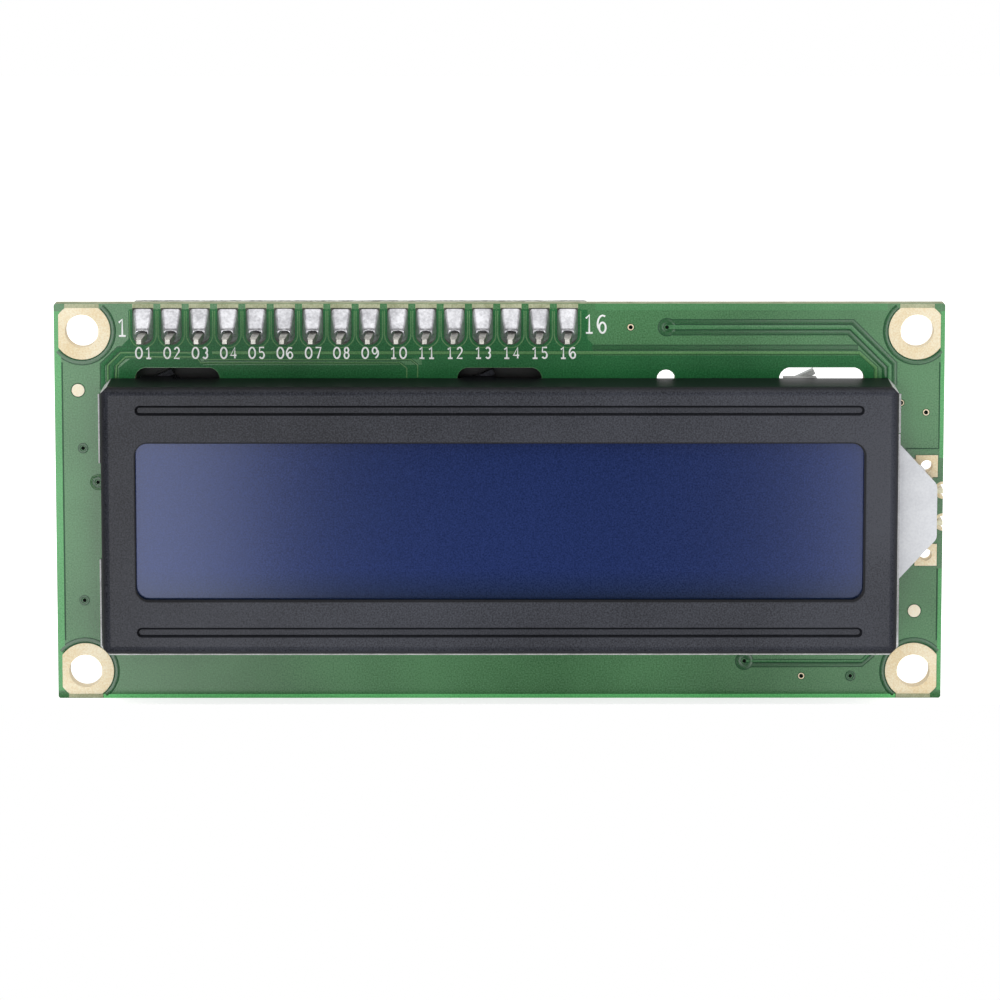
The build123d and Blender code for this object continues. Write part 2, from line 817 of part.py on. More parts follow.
# Jumper cap: a small moulded sleeve, open towards the header, over the two pins and their clip
cap_start = adapter_right + cap_gap
cavity_height = (jumper_count - 1) * header_pitch + pin_size + 2 * cap_side_room
cavity_depth = pin_size + clip_thickness
with BuildPart() as jumper_cap:
    cavity_middle = angle_pin_depth + clip_thickness / 2
    with BuildSketch(Plane.YZ.offset(cap_start)):
        with Locations((cavity_middle, part_line)):
            Rectangle(cavity_depth + 2 * cap_wall, cavity_height + 2 * cap_wall)
    extrude(amount=cap_length + cap_wall)
    chamfer(jumper_cap.faces().sort_by(Axis.X)[-1].edges(), cap_wall / 2)
    with BuildSketch(Plane.YZ.offset(cap_start)):
        with Locations((cavity_middle, part_line)):
            Rectangle(cavity_depth, cavity_height)
    extrude(amount=cap_length, mode=Mode.SUBTRACT)

# Spring clip that joins the two pins inside the cap
with BuildPart() as jumper_clip:
    with BuildSketch(level(-angle_pin_depth - pin_size / 2)):
        with Locations((cap_start + cap_length / 2, part_line)):
            Rectangle(cap_length - 2 * clip_end_gap, cavity_height - cap_side_room)
    extrude(amount=-clip_thickness)

# Small parts on the adapter
adapter_resistors = chip_row(
    [
        (adapter_left + resistor_start + i * resistor_step, adapter_bottom + resistor_lift)
        for i in range(resistor_count)
    ],
    adapter_back_depth,
    small_chip_length,
    small_chip_width,
    small_chip_height,
)
adapter_capacitors = chip_row(
    [
        (trimmer_x - trimmer_size / 2 - capacitor_gap, part_line),
        (trimmer_x + trimmer_size / 2 + capacitor_gap, part_line),
    ],
    adapter_back_depth,
    large_chip_width,
    large_chip_length,
    large_chip_width,
)
power_led = chip_row(
    [(adapter_right - power_led_inset, adapter_bottom + power_led_lift)],
    adapter_back_depth,
    large_chip_length,
    large_chip_width,
    power_led_height,
)

# Switching transistor with one lead on one side and two on the other
transistor_x = adapter_right - transistor_inset
transistor_y = adapter_bottom + transistor_lift
with BuildPart() as transistor_body:
    with BuildSketch(level(-adapter_back_depth - transistor_standoff)):
        with Locations((transistor_x, transistor_y)):
            Rectangle(transistor_length, transistor_width)
    extrude(amount=-transistor_height)
    chamfer(transistor_body.edges().group_by(Axis.Y)[-1], transistor_standoff)

transistor_lead = gull_lead(
    transistor_x,
    transistor_y + transistor_width / 2,
    adapter_back_depth + transistor_standoff + transistor_height / 2,
    adapter_back_depth,
    transistor_shoulder,
    transistor_foot,
    transistor_lead_thickness,
    transistor_lead_width,
    transistor_shoulder,
)
with BuildPart() as lower_lead_pair:
    with Locations((-transistor_pitch, 0, 0), (transistor_pitch, 0, 0)):
        add(transistor_lead.part)
    mirror(about=Plane.XY.offset(transistor_y), mode=Mode.REPLACE)

with BuildPart() as transistor_leads:
    add(transistor_lead.part)
    add(lower_lead_pair.part)

pieces = {
    "main_board": main_board,
    "mounting_rings": mounting_rings,
    "header_pads": header_pads,
    "backlight_pads": backlight_pads,
    "bezel": bezel,
    "front_polarizer": front_polarizer,
    "front_glass": front_glass,
    "rear_glass": rear_glass,
    "rear_polarizer": rear_polarizer,
    "diffuser_film": diffuser_film,
    "light_guide": light_guide,
    "reflector_film": reflector_film,
    "tongue_film": tongue_film,
    "backlight_led": backlight_led,
    "upper_zebra_strip": upper_zebra_strip,
    "lower_zebra_strip": lower_zebra_strip,
    "controller_blob": controller_blob,
    "driver_blob": driver_blob,
    "board_resistors": board_resistors,
    "board_capacitors": board_capacitors,
    "header_strip": header_strip,
    "header_pins": header_pins,
    "header_solder": header_solder,
    "adapter_board": adapter_board,
    "adapter_header_solder": adapter_header_solder,
    "expander_chip": expander_chip,
    "expander_leads": expander_leads,
    "trimmer_body": trimmer_body,
    "trimmer_rotor": trimmer_rotor,
    "trimmer_legs": trimmer_legs,
    "trimmer_solder": trimmer_solder,
    "bus_header_strip": bus_header_strip,
    "bus_header_pins": bus_header_pins,
    "bus_header_solder": bus_header_solder,
    "jumper_header_strip": jumper_header_strip,
    "jumper_header_pins": jumper_header_pins,
    "jumper_header_solder": jumper_header_solder,
    "jumper_cap": jumper_cap,
    "jumper_clip": jumper_clip,
    "power_led": power_led,
    "adapter_resistors": adapter_resistors,
    "adapter_capacitors": adapter_capacitors,
    "transistor_body": transistor_body,
    "transistor_leads": transistor_leads,
}

os.makedirs("parts", exist_ok=True)
for name, piece in pieces.items():
    piece.part.label = name
    export_step(piece.part, f"parts/{name}.step")
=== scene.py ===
import random
from functools import partial
from math import atan2, cos, degrees, pi, radians, sin, sqrt, tau

import bmesh
import bpy
from mathutils import Matrix, Vector


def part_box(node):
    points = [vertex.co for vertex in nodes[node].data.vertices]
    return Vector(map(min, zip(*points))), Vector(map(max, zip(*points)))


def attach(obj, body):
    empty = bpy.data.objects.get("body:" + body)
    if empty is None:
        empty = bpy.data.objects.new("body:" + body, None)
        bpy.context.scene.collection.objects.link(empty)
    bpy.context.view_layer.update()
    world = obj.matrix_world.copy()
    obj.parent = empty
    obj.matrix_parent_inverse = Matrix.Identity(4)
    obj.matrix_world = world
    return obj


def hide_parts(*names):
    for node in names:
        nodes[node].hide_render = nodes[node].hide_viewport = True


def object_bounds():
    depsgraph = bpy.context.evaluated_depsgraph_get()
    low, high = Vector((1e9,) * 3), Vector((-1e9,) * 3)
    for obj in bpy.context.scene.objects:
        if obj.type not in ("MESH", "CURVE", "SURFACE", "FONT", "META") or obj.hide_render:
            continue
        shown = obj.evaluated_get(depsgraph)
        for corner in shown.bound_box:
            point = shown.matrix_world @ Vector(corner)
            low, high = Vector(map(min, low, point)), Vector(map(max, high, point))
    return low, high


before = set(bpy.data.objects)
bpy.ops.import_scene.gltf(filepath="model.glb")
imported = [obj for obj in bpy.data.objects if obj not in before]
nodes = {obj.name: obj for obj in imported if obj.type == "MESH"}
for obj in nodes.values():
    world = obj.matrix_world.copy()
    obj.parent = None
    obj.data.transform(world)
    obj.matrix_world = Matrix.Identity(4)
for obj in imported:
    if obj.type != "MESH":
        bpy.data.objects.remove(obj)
cad_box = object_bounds()

# Studio: the camera stands in front of the display and a little above it, with a soft lamp on
# each side of it and one overhead. A pale floor lies under the lower edge of the board.
show = bpy.context.scene.collection.objects.link
camera_dip = 8.8645
camera_turn = -0.0923
camera_data = bpy.data.cameras.new("camera")
camera_data.lens = 190.175
camera_data.sensor_width = 36.0
camera_data.clip_start = 0.01
camera = bpy.data.objects.new("camera", camera_data)
camera.location = (-0.000716, -0.470809, 0.073594)
camera.rotation_euler = (radians(90 - camera_dip), 0.0, radians(camera_turn))
show(camera)
bpy.context.scene.camera = camera
bpy.context.scene.view_settings.view_transform = "Standard"


def softbox(name, azimuth, elevation, distance, width, height, radiance):
    """Lamp of even radiance, aimed at the middle of the board from the direction given in degrees."""
    across, up = radians(azimuth), radians(elevation)
    place = distance * Vector((sin(across) * cos(up), -cos(across) * cos(up), sin(up)))
    data = bpy.data.lights.new(name, "AREA")
    data.shape = "RECTANGLE"
    data.size = width
    data.size_y = height
    data.energy = radiance * pi * width * height
    lamp = bpy.data.objects.new(name, data)
    lamp.location = place
    lamp.rotation_euler = (-place).to_track_quat("-Z", "Y").to_euler()
    lamp.visible_camera = False
    show(lamp)


softbox("left_lamp", azimuth=-9.85, elevation=-3.0, distance=0.8, width=0.15, height=0.42, radiance=5.2)
softbox("right_lamp", azimuth=11.6, elevation=-3.0, distance=0.8, width=0.15, height=0.42, radiance=4.2)
softbox("top_lamp", azimuth=0.0, elevation=72.0, distance=0.6, width=0.5, height=0.36, radiance=1.5)


def add_node(tree, kind, feeds=(), **settings):
    """Adds a shader node; feeds gives an input its value or the socket that drives it."""
    node = tree.nodes.new(f"ShaderNode{kind}")
    for label, setting in settings.items():
        setattr(node, label, setting)
    for label, feed in dict(feeds).items():
        if isinstance(feed, bpy.types.NodeSocket):
            tree.links.new(feed, node.inputs[label])
        else:
            node.inputs[label].default_value = feed
    return node


def calc(tree, operation, first, second=0.0):
    """Socket with the result of one sum."""
    return add_node(tree, "Math", {0: first, 1: second}, operation=operation).outputs[0]


def map_range(tree, value, **ends):
    """Socket with a value carried from one range to another, by default from and to nought to one."""
    feeds = {label.replace("_", " ").title(): end for label, end in ends.items()}
    return add_node(tree, "MapRange", {"Value": value, **feeds}).outputs["Result"]


def axes(tree, kind, label):
    """The three parts of a vector that a source node gives."""
    return add_node(tree, "SeparateXYZ", {0: add_node(tree, kind).outputs[label]}).outputs


def straight_view(tree):
    """One for rays from the camera, also through clear parts, and nought for all others."""
    ray = add_node(tree, "LightPath").outputs
    return calc(tree, "MAXIMUM", ray["Is Camera Ray"], ray["Is Transmission Ray"])


room_light = 0.76
world = bpy.data.worlds.new("studio")
world.use_nodes = True
bpy.context.scene.world = world
sky = world.node_tree
backward = map_range(sky, axes(sky, "TexCoord", "Generated")["Y"], from_min=-0.35, from_max=0.3, to_min=0.03)
glossy_ray = add_node(sky, "LightPath").outputs["Is Glossy Ray"]
lit = add_node(sky, "Mix", {"Factor": glossy_ray, "A": room_light, "B": backward}).outputs["Result"]
plain = add_node(sky, "Mix", {"Factor": straight_view(sky), "A": lit, "B": 1.0}).outputs["Result"]
background = sky.nodes["Background"]
background.inputs["Color"].default_value = (1.0, 1.0, 1.0, 1.0)
sky.links.new(plain, background.inputs["Strength"])


def rectangle(left, lower, right, upper):
    """Corners of a rectangle, in turn."""
    return [(left, lower), (right, lower), (right, upper), (left, upper)]


floor_width = 1.6
floor_front = -0.003
floor_back = 0.75
floor_glow = 0.7
floor_grey = (0.86, 0.86, 0.86, 1.0)
floor_outline = rectangle(-floor_width / 2, floor_front, floor_width / 2, floor_back)
floor_mesh = bpy.data.meshes.new("floor")
floor_mesh.from_pydata([(x, y, cad_box[0].z) for x, y in floor_outline], [], [range(4)])
floor = bpy.data.objects.new("floor", floor_mesh)
show(floor)
floor_finish = bpy.data.materials.new("floor")
floor_finish.use_nodes = True
floor_tree = floor_finish.node_tree
floor_tree.nodes.remove(floor_tree.nodes["Principled BSDF"])
glow = calc(floor_tree, "MULTIPLY", straight_view(floor_tree), floor_glow)
lift = add_node(floor_tree, "Emission", {"Strength": glow}).outputs[0]
matt = add_node(floor_tree, "BsdfDiffuse", {"Color": floor_grey}).outputs[0]
both = add_node(floor_tree, "AddShader", {0: matt, 1: lift}).outputs[0]
floor_tree.links.new(both, floor_tree.nodes["Material Output"].inputs["Surface"])
floor_mesh.materials.append(floor_finish)

# Main board: a plate of glass-fibre laminate, drilled and milled, with green solder mask on both
# faces. The laminate itself shows at the cut edges and in the walls of the holes and slots.
mottle_tones = ("Dark", "Light")
mottle_values = ("Patch Scale", "Grain Scale", "Grain Depth", "Smooth", "Rough")
finish_results = (
    ("Color", "Color", "RGBA", "Base Color"),
    ("Roughness", "Float", "FLOAT", "Roughness"),
    ("Normal", "Vector", "VECTOR", "Normal"),
)
constant_sockets = {
    "metal": "Metallic",
    "specular": "Specular IOR Level",
    "reflected": "Specular Tint",
    "clear": "Transmission Weight",
}


def tint(red, green, blue):
    """Colour for a socket from the usual 0 to 255 values."""
    linear = [((c / 255 + 0.055) / 1.055) ** 2.4 if c > 10 else c / 255 / 12.92 for c in (red, green, blue)]
    return (*linear, 1.0)


def make_mottle():
    """Node group: two tones in soft patches and fine grain, with roughness and bump from the grain."""
    group = bpy.data.node_groups.new("mottle", "ShaderNodeTree")
    sockets = [(label, "INPUT", "Color") for label in mottle_tones]
    sockets += [(label, "INPUT", "Float") for label in mottle_values]
    sockets += [(label, "OUTPUT", socket) for label, socket, kind, target in finish_results]
    for label, side, socket in sockets:
        group.interface.new_socket(label, in_out=side, socket_type=f"NodeSocket{socket}")
    given = group.nodes.new("NodeGroupInput").outputs
    place = add_node(group, "TexCoord").outputs["Object"]
    noises = []
    for label, detail in (("Patch Scale", 3.0), ("Grain Scale", 2.0)):
        feeds = {"Vector": place, "Scale": given[label], "Detail": detail}
        noises.append(add_node(group, "TexNoise", feeds).outputs["Fac"])
    patch, grain = noises
    share = map_range(group, calc(group, "ADD", patch, grain), from_min=0.75, from_max=1.25)
    tones = {"Factor": share, "A": given["Dark"], "B": given["Light"]}
    relief = {"Height": grain, "Distance": given["Grain Depth"], "Strength": 1.0}
    results = (
        add_node(group, "Mix", tones, data_type="RGBA").outputs["Result"],
        map_range(group, grain, from_min=0.3, from_max=0.7, to_min=given["Smooth"], to_max=given["Rough"]),
        add_node(group, "Bump", relief).outputs["Normal"],
    )
    end = group.nodes.new("NodeGroupOutput")
    for result, (label, socket, kind, target) in zip(results, finish_results):
        group.links.new(result, end.inputs[label])
    return group


mottle = make_mottle()


def add_mottle(tree, dark, light, *values):
    """Outputs of a mottle node with this finish: two tones, then mottle_values in their order."""
    feeds = {"Dark": tint(*dark), "Light": tint(*light), **dict(zip(mottle_values, values))}
    return add_node(tree, "Group", feeds, node_tree=mottle).outputs


def new_material(name, constants):
    """Material, its node tree and its shader, with these constants on the shader's own sockets."""
    material = bpy.data.materials.new(name)
    material.use_nodes = True
    shader = material.node_tree.nodes["Principled BSDF"]
    for key, value in constants.items():
        shader.inputs[constant_sockets[key]].default_value = value
    return material, material.node_tree, shader


def surface(name, *finish, **constants):
    """Material with one mottled finish all over."""
    material, tree, shader = new_material(name, constants)
    outputs = add_mottle(tree, *finish)
    for label, socket, kind, target in finish_results:
        tree.links.new(outputs[label], shader.inputs[target])
    return material


def two_surfaces(name, first, second, add_mask, second_metal=0.0, **constants):
    """Material that goes from one mottled finish to another by a mask that add_mask puts in its tree."""
    material, tree, shader = new_material(name, constants)
    outputs = [add_mottle(tree, *finish) for finish in (first, second)]
    mask = add_mask(tree)
    for label, socket, kind, target in finish_results:
        feeds = {"Factor": mask, "A": outputs[0][label], "B": outputs[1][label]}
        mix = add_node(tree, "Mix", feeds, data_type=kind)
        tree.links.new(mix.outputs["Result"], shader.inputs[target])
    if second_metal:
        tree.links.new(map_range(tree, mask, to_max=second_metal), shader.inputs["Metallic"])
    return material


def edge_mask(tree):
    """One on the cut edges of a board and in its holes, nought on its two faces."""
    steep = 0.5
    out = axes(tree, "NewGeometry", "True Normal")["Y"]
    return calc(tree, "LESS_THAN", calc(tree, "ABSOLUTE", out), steep)


def dress(material, *names):
    """Gives a finish to solids that keep their own shape."""
    for name in names:
        nodes[name].data.materials[0] = material


mask_grain = (60, 7200, 3e-7)
mask_over_copper = ((40, 98, 49), (76, 136, 84), *mask_grain, 0.17, 0.22)
cut_laminate = ((122, 132, 92), (176, 178, 146), 900, 7000, 2.0e-5, 0.6, 0.8)
green_mask = two_surfaces("green_mask", mask_over_copper, cut_laminate, edge_mask, specular=0.42)
dress(green_mask, "main_board")

# Etched copper on the front of the main board, under the mask: tracks and wide areas of copper,
# with bare channels between them that look darker, and a rim without copper, given a painted glow
# along the lower edge and painted shade along the top. Each top is a height above the face in millimetres.
TO_WORLD = Matrix.Scale(0.001, 4) @ Matrix.Rotation(radians(90), 4, "X")


def make_piece(name, shape, finishes, body="module", replaced=(), sharp=35.0):
    """Piece from a shape drawn in millimetres: across, up and out of the board's front face."""
    bmesh.ops.remove_doubles(shape, verts=shape.verts, dist=1e-5)
    bmesh.ops.recalc_face_normals(shape, faces=shape.faces)
    shape.transform(TO_WORLD)
    mesh = bpy.data.meshes.new(name)
    shape.to_mesh(mesh)
    shape.free()
    mesh.shade_smooth()
    mesh.set_sharp_from_angle(angle=radians(sharp))
    for finish in finishes:
        mesh.materials.append(finish)
    piece = bpy.data.objects.new(name, mesh)
    show(piece)
    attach(piece, body)
    if replaced:
        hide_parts(*replaced)


def mask_finish(name, dark, light, smooth, rough, **constants):
    """Green mask over one kind of ground, with the grain that the whole board has."""
    return surface(name, dark, light, *mask_grain, smooth, rough, **constants)


def raise_faces(shape, faces, height):
    """Makes a solid of flat faces and gives the points of its raised side."""
    raised = bmesh.ops.extrude_face_region(shape, geom=faces)["geom"]
    top = [v for v in raised if isinstance(v, bmesh.types.BMVert)]
    bmesh.ops.translate(shape, verts=top, vec=(0.0, 0.0, height))
    return top


def plate(shape, outline, low, high):
    """Adds a flat plate of any outline between two heights."""
    corners = [shape.verts.new((x, y, low)) for x, y in outline]
    raise_faces(shape, [shape.faces.new(corners)], high - low)


def arc(x, y, radius, start=0, stop=360, steps=24):
    """Points along an arc, with its angles in degrees."""
    turns = [radians(start + (stop - start) * i / steps) for i in range(steps + 1)]
    return [(x + radius * cos(turn), y + radius * sin(turn)) for turn in turns]


def tracks(shape, routes, crest, base=0.0, extra=0.0):
    """Adds low rounded ridges along routes, each a width and its points, to a face at base."""
    curve = bpy.data.curves.new("routes", "CURVE")
    curve.dimensions = "3D"
    curve.bevel_depth = 0.5
    curve.bevel_resolution = 2
    curve.use_fill_caps = True
    for width, points in routes:
        spline = curve.splines.new("POLY")
        spline.points.add(len(points) - 1)
        for point, (x, y) in zip(spline.points, points):
            point.co = (x, y, 0.0, 1.0)
            point.radius = width + extra
    holder = bpy.data.objects.new("routes", curve)
    mesh = bpy.data.meshes.new_from_object(holder)
    highest = max(v.co.z for v in mesh.vertices)
    mesh.transform(Matrix.Translation((0, 0, base)) @ Matrix.Scale(crest / highest, 4, (0, 0, 1)))
    shape.from_mesh(mesh)
    bpy.data.objects.remove(holder)
    bpy.data.meshes.remove(mesh)
    bpy.data.curves.remove(curve)


def second_finish(shape):
    """Gives all the faces that a shape has so far the second of its piece's finishes."""
    for face in shape.faces:
        face.material_index = 1


def board_box(name):
    """Lowest and highest corner of a node in millimetres across, up and out of the front face."""
    low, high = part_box(name)
    return Vector((low.x, low.z, -high.y)) * 1000, Vector((high.x, high.z, -low.y)) * 1000


def middle_of(name):
    """Middle of a node in the same millimetres."""
    low, high = board_box(name)
    return (low + high) / 2


def row_of(low, high, size, count):
    """Middles of a row of equal parts that fills the span from low to high."""
    pitch = (high - low - size) / (count - 1)
    return [low + size / 2 + i * pitch for i in range(count)]


board_low, board_high = board_box("main_board")
ring_x = 37.5
ring_y = 15.5
ring_sides = [(side_x, side_y) for side_x in (1, -1) for side_y in (1, -1)]
pin_count = 16
pins_low, pins_high = board_box("header_pins")
pin_size = pins_high.y - pins_low.y
pin_row = middle_of("header_pins").y
pin_places = row_of(pins_low.x, pins_high.x, pin_size, pin_count)
pin_pitch = (pin_places[-1] - pin_places[0]) / (pin_count - 1)


def about_rings(radius, reach=96, steps=40):
    """Arcs about the four mounting rings, on their sides towards the middle of the board."""
    arcs = []
    for side_x, side_y in ring_sides:
        turn = degrees(atan2(-side_y, -side_x))
        arcs.append(arc(side_x * ring_x, side_y * ring_y, radius, turn - reach, turn + reach, steps))
    return arcs


track_vias = ((15.03, 15.86), (22.17, -14.6))
covered_vias = ((-37.5, 4.9), (-37.53, -9.0), (31.8, -15.98), (-36.19, 1.8))
bare_vias = ((11.77, 15.86), (36.12, 9.01), (38.38, 8.14), (27.35, -15.98))
guide_marks = ((-37.89, 10.16), (37.53, -9.99))
guide_radius = 0.575
channels = [
    (0.44, [(15.03, 16.34), (31.72, 16.34), (35.5, 12.6), (35.5, 10.6)]),
    (0.44, [(15.03, 15.37), (31.37, 15.37), (34.6, 12.2), (34.6, 10.8)]),
    (0.42, [(8.3, 14.03), (32.2, 14.03)]),
    (0.36, [(22.17, -14.97), (32.78, -14.97), (33.86, -14.0)]),
    (0.05, [(39.57, 12.7), (39.57, 4.85), (36.6, 4.85)]),
    (0.05, [(39.57, -6.1), (39.57, -12.7)]),
    (0.05, [(-39.3, 12.7), (-39.3, -12.7)]),
    *((0.4, points) for points in about_rings(2.84)),
    *((0.5, arc(x, y, 0.55)) for x, y in track_vias),
    *((0.16, arc(x, y, 0.36)) for x, y in covered_vias),
]
row_channels = [
    (0.46, [(-27.4, 13.9), (-34.2, 13.9), (-35.66, 12.5), (-35.66, 10.2)]),
    (0.44, [(-27.5, 13.37), (-33.8, 13.37), (-34.82, 12.4), (-34.88, 10.6)]),
]
copper_routes = [
    (0.2, [(-27.44, 13.56), (-34.03, 13.56), (-35.2, 12.4), (-35.2, 10.9)]),
    (0.2, [(-27.62, 13.18), (-33.6, 13.18), (-34.4, 12.4), (-34.5, 10.9)]),
    (0.15, [(-28.2, 13.56), (-27.3, 13.3), (-26.86, 12.67)]),
    (0.14, [(-26.54, 12.94), (-7.95, 12.94), (-7.36, 12.44), (-7.36, 11.3)]),
    (0.14, [(-26.9, 12.64), (-8.94, 12.64), (-8.34, 12.17), (-8.34, 11.3)]),
    (0.34, [(-25.8, 13.55), (32.34, 13.55), (33.83, 12.18), (33.83, 10.9)]),
    (0.1, arc(*covered_vias[-1], 0.62)),
]
wide_routes = [
    (0.46, [(15.03, 15.86), (31.55, 15.86), (35.07, 12.36), (35.07, 10.8)]),
    (0.26, [(22.17, -14.6), (32.83, -14.6), (33.5, -13.95)]),
]
lamp_pads_low, lamp_pads_high = board_box("backlight_pads")
lamp_pad_size = 2.0
lamp_pads = row_of(lamp_pads_low.y, lamp_pads_high.y, lamp_pad_size, 2)
mask_edges = [(0.07, arc(x, y, 0.31)) for x, y in bare_vias]
mask_edges += [(0.11, arc(x, y, guide_radius + 0.03)) for x, y in guide_marks]
for middle in lamp_pads:
    lower, upper = middle - lamp_pad_size / 2, middle + lamp_pad_size / 2
    square = rectangle(lamp_pads_low.x, lower, lamp_pads_high.x, upper)
    mask_edges.append((0.13, [*square, square[0]]))
mask_edges += [(0.13, points) for points in about_rings(2.6)]

# Dark bands along every track, channel and mask opening: partly the real line where the mask steps over the
# copper's edge, partly painted shade beside each step.
channel_shade_top = 0.006
track_shade_top = 0.0125
edge_top = 0.02
edge_shape = bmesh.new()
tracks(edge_shape, mask_edges, edge_top)
tracks(edge_shape, channels + row_channels, channel_shade_top, extra=0.09)
tracks(edge_shape, copper_routes + wide_routes, track_shade_top, extra=0.1)
mask_in_shade = mask_finish("mask_at_copper_edge_shade", (16, 62, 33), (30, 86, 49), 0.2, 0.26, specular=0.2)
make_piece("copper_edge_shade", edge_shape, [mask_in_shade])

slots_x = (-28.95, 0.0, 28.95)
slot_y = 11.2
slot_half = 2.8
slot_room = 1.06
peg_x = 14.95
peg_room = 0.88
bare_outline = [
    (33.6, 10.9), (33.6, 12.3), (32.6, 13.3), (-7.0, 13.3), (-7.0, 12.45),
    (-26.6, 12.45), (-27.2, 13.0), (-33.2, 13.0), (-34.2, 12.2), (-34.2, 10.9),
]
for x in slots_x:
    if x > peg_x:
        bare_outline += arc(peg_x, slot_y, peg_room, 197, -17, 14)
    bare_outline += arc(x - slot_half, slot_y, slot_room, 195, 90, 8)
    bare_outline += arc(x + slot_half, slot_y, slot_room, 90, -15, 8)
header_zone = [
    (-33.6, 13.02), (8.4, 13.02), (8.4, 14.3), (7.9, 14.8), (7.9, 17.45), (-33.3, 17.45),
    (-33.3, 14.8), (-34.0, 14.1), (-34.0, 13.3),
]
zone_top = 0.0035
bare_top = 0.004
pad_room_top = 0.005
channel_top = 0.0095
pad_wall = 1.18
wall_width = 0.13
pad_wall_end = 17.35
pad_room_end = 17.5
wall_routes = []
gap_shape = bmesh.new()
plate(gap_shape, bare_outline, 0.0, bare_top)
plate(gap_shape, header_zone, 0.0, zone_top)
for place in pin_places:
    left, right = place - pad_wall, place + pad_wall
    lower_end = arc(place, pin_row, pad_wall, 180, 360, 16)
    plate(gap_shape, [*lower_end, (right, pad_room_end), (left, pad_room_end)], 0.0, pad_room_top)
    wall_routes.append((wall_width, [(left, pad_wall_end), *lower_end, (right, pad_wall_end)]))
tracks(gap_shape, row_channels, channel_top)
second_finish(gap_shape)
tracks(gap_shape, channels, channel_top)
mask_over_laminate = mask_finish("mask_over_laminate", (2, 66, 24), (24, 100, 46), 0.16, 0.2)
mask_in_rows = mask_finish("mask_in_header_rows", (18, 80, 40), (44, 118, 66), 0.2, 0.26, specular=0.12)
make_piece("etched_channels", gap_shape, [mask_over_laminate, mask_in_rows])

track_top = 0.018
track_shape = bmesh.new()
tracks(track_shape, wide_routes, track_top)
second_finish(track_shape)
tracks(track_shape, copper_routes + wall_routes, track_top)
mask_over_track = mask_finish("mask_over_track", (60, 114, 58), (94, 146, 88), 0.18, 0.23, specular=0.25)
wide_track = mask_finish("mask_over_wide_track", (44, 104, 56), (78, 138, 88), 0.17, 0.22, specular=0.34)
make_piece("copper_tracks", track_shape, [mask_over_track, wide_track])

rim_end = 17.3
rim_left = -39.37
rim_right = 39.64
rim_shape = bmesh.new()
for sides in (
    (board_low.x, -rim_end, rim_left, rim_end),
    (rim_right, -rim_end, board_high.x, -6.1),
    (rim_right, 4.0, board_high.x, rim_end),
    (8.6, 17.39, 34.8, board_high.y),
    (-35.9, board_low.y, 35.9, -17.64),
):
    plate(rim_shape, rectangle(*sides), 0.0, bare_top)
for face in rim_shape.faces:
    middle_y = face.calc_center_median().y
    if middle_y < -ring_y:
        face.material_index = 1
    elif middle_y > ring_y:
        face.material_index = 2
# The lower strip is a lighter copy of the rim's green, a painted glow as if light came through the laminate,
# and the upper strip is a darker copy, painted shade.
side_rim = mask_finish("mask_over_rim", (40, 136, 58), (74, 170, 92), 0.2, 0.26)
lower_rim_painted_light = mask_finish("mask_over_lower_rim", (88, 190, 104), (124, 224, 140), 0.2, 0.26)
upper_rim_painted_shade = mask_finish("mask_over_upper_rim", (38, 114, 52), (68, 142, 82), 0.2, 0.26)
make_piece("clear_rim", rim_shape, [side_rim, lower_rim_painted_light, upper_rim_painted_shade])

# Etched copper on the back of the main board, under the mask: lines between the two drops of
# epoxy and from them to plated holes, and wider lines that join the row of chip resistors.
back_face = board_low.z
drop_names = {"controller_blob": "controller_drop", "driver_blob": "driver_drop"}
drop_middles = sorted(map(middle_of, drop_names), key=lambda middle: middle.x)
drop_radius = board_box("controller_blob")[1].x - middle_of("controller_blob").x
line_width = 0.24
line_pitch = 0.62
line_count = 11
fan_count = 8
fan_start = 2.6
fan_end = 5.2
fan_slope = 0.3
back_routes = []


def add_back_hole(x, y):
    """Adds the rim of a plated hole to the lines on the back."""
    back_routes.append((0.3, arc(x, y, 0.24)))


for i in range(line_count):
    y = drop_middles[0].y + (i - (line_count - 1) / 2) * line_pitch
    back_routes.append((line_width, [(drop_middles[0].x, y), (drop_middles[1].x, y)]))
for side, drop in zip((-1, 1), drop_middles):
    for i in range(fan_count):
        y = drop.y + (i - (fan_count - 1) / 2) * line_pitch
        turn = drop.x + side * (drop_radius + fan_start + (fan_count - 1 - i) * line_pitch)
        end = (turn + side, drop.y + fan_end - i * fan_slope)
        back_routes.append((line_width, [(drop.x, y), (turn, y), (turn + side, y + 1), end]))
        add_back_hole(*end)
resistor_count = 7
resistor_width = 1.25
resistor_pad = 0.8
stub_end = 2.1
hole_end = 2.3
rail_reach = 2.4
rail_over = 2.6
row_low, row_high = board_box("board_resistors")
row_y = middle_of("board_resistors").y
row_places = row_of(row_low.x, row_high.x, resistor_width, resistor_count)
rail_y = row_y + rail_reach
for x in row_places:
    back_routes.append((0.5, [(x, row_y + resistor_pad), (x, rail_y)]))
    back_routes.append((0.3, [(x, row_y - resistor_pad), (x, row_y - stub_end)]))
    add_back_hole(x, row_y - hole_end)
back_routes.append((0.7, [(row_places[0], rail_y), (row_places[-1] + rail_over, rail_y)]))


def line_piece(name, routes, crest, base, finish, extra=0.0):
    """Piece of nothing but low ridges along routes."""
    shape = bmesh.new()
    tracks(shape, routes, crest, base, extra)
    make_piece(name, shape, [finish])


back_top = 0.02
back_shade_top = 0.008
back_shade = 0.22
line_piece("back_channels", back_routes, back_shade_top, back_face, mask_over_laminate, extra=back_shade)
line_piece("back_tracks", back_routes, back_top, back_face, mask_over_track)

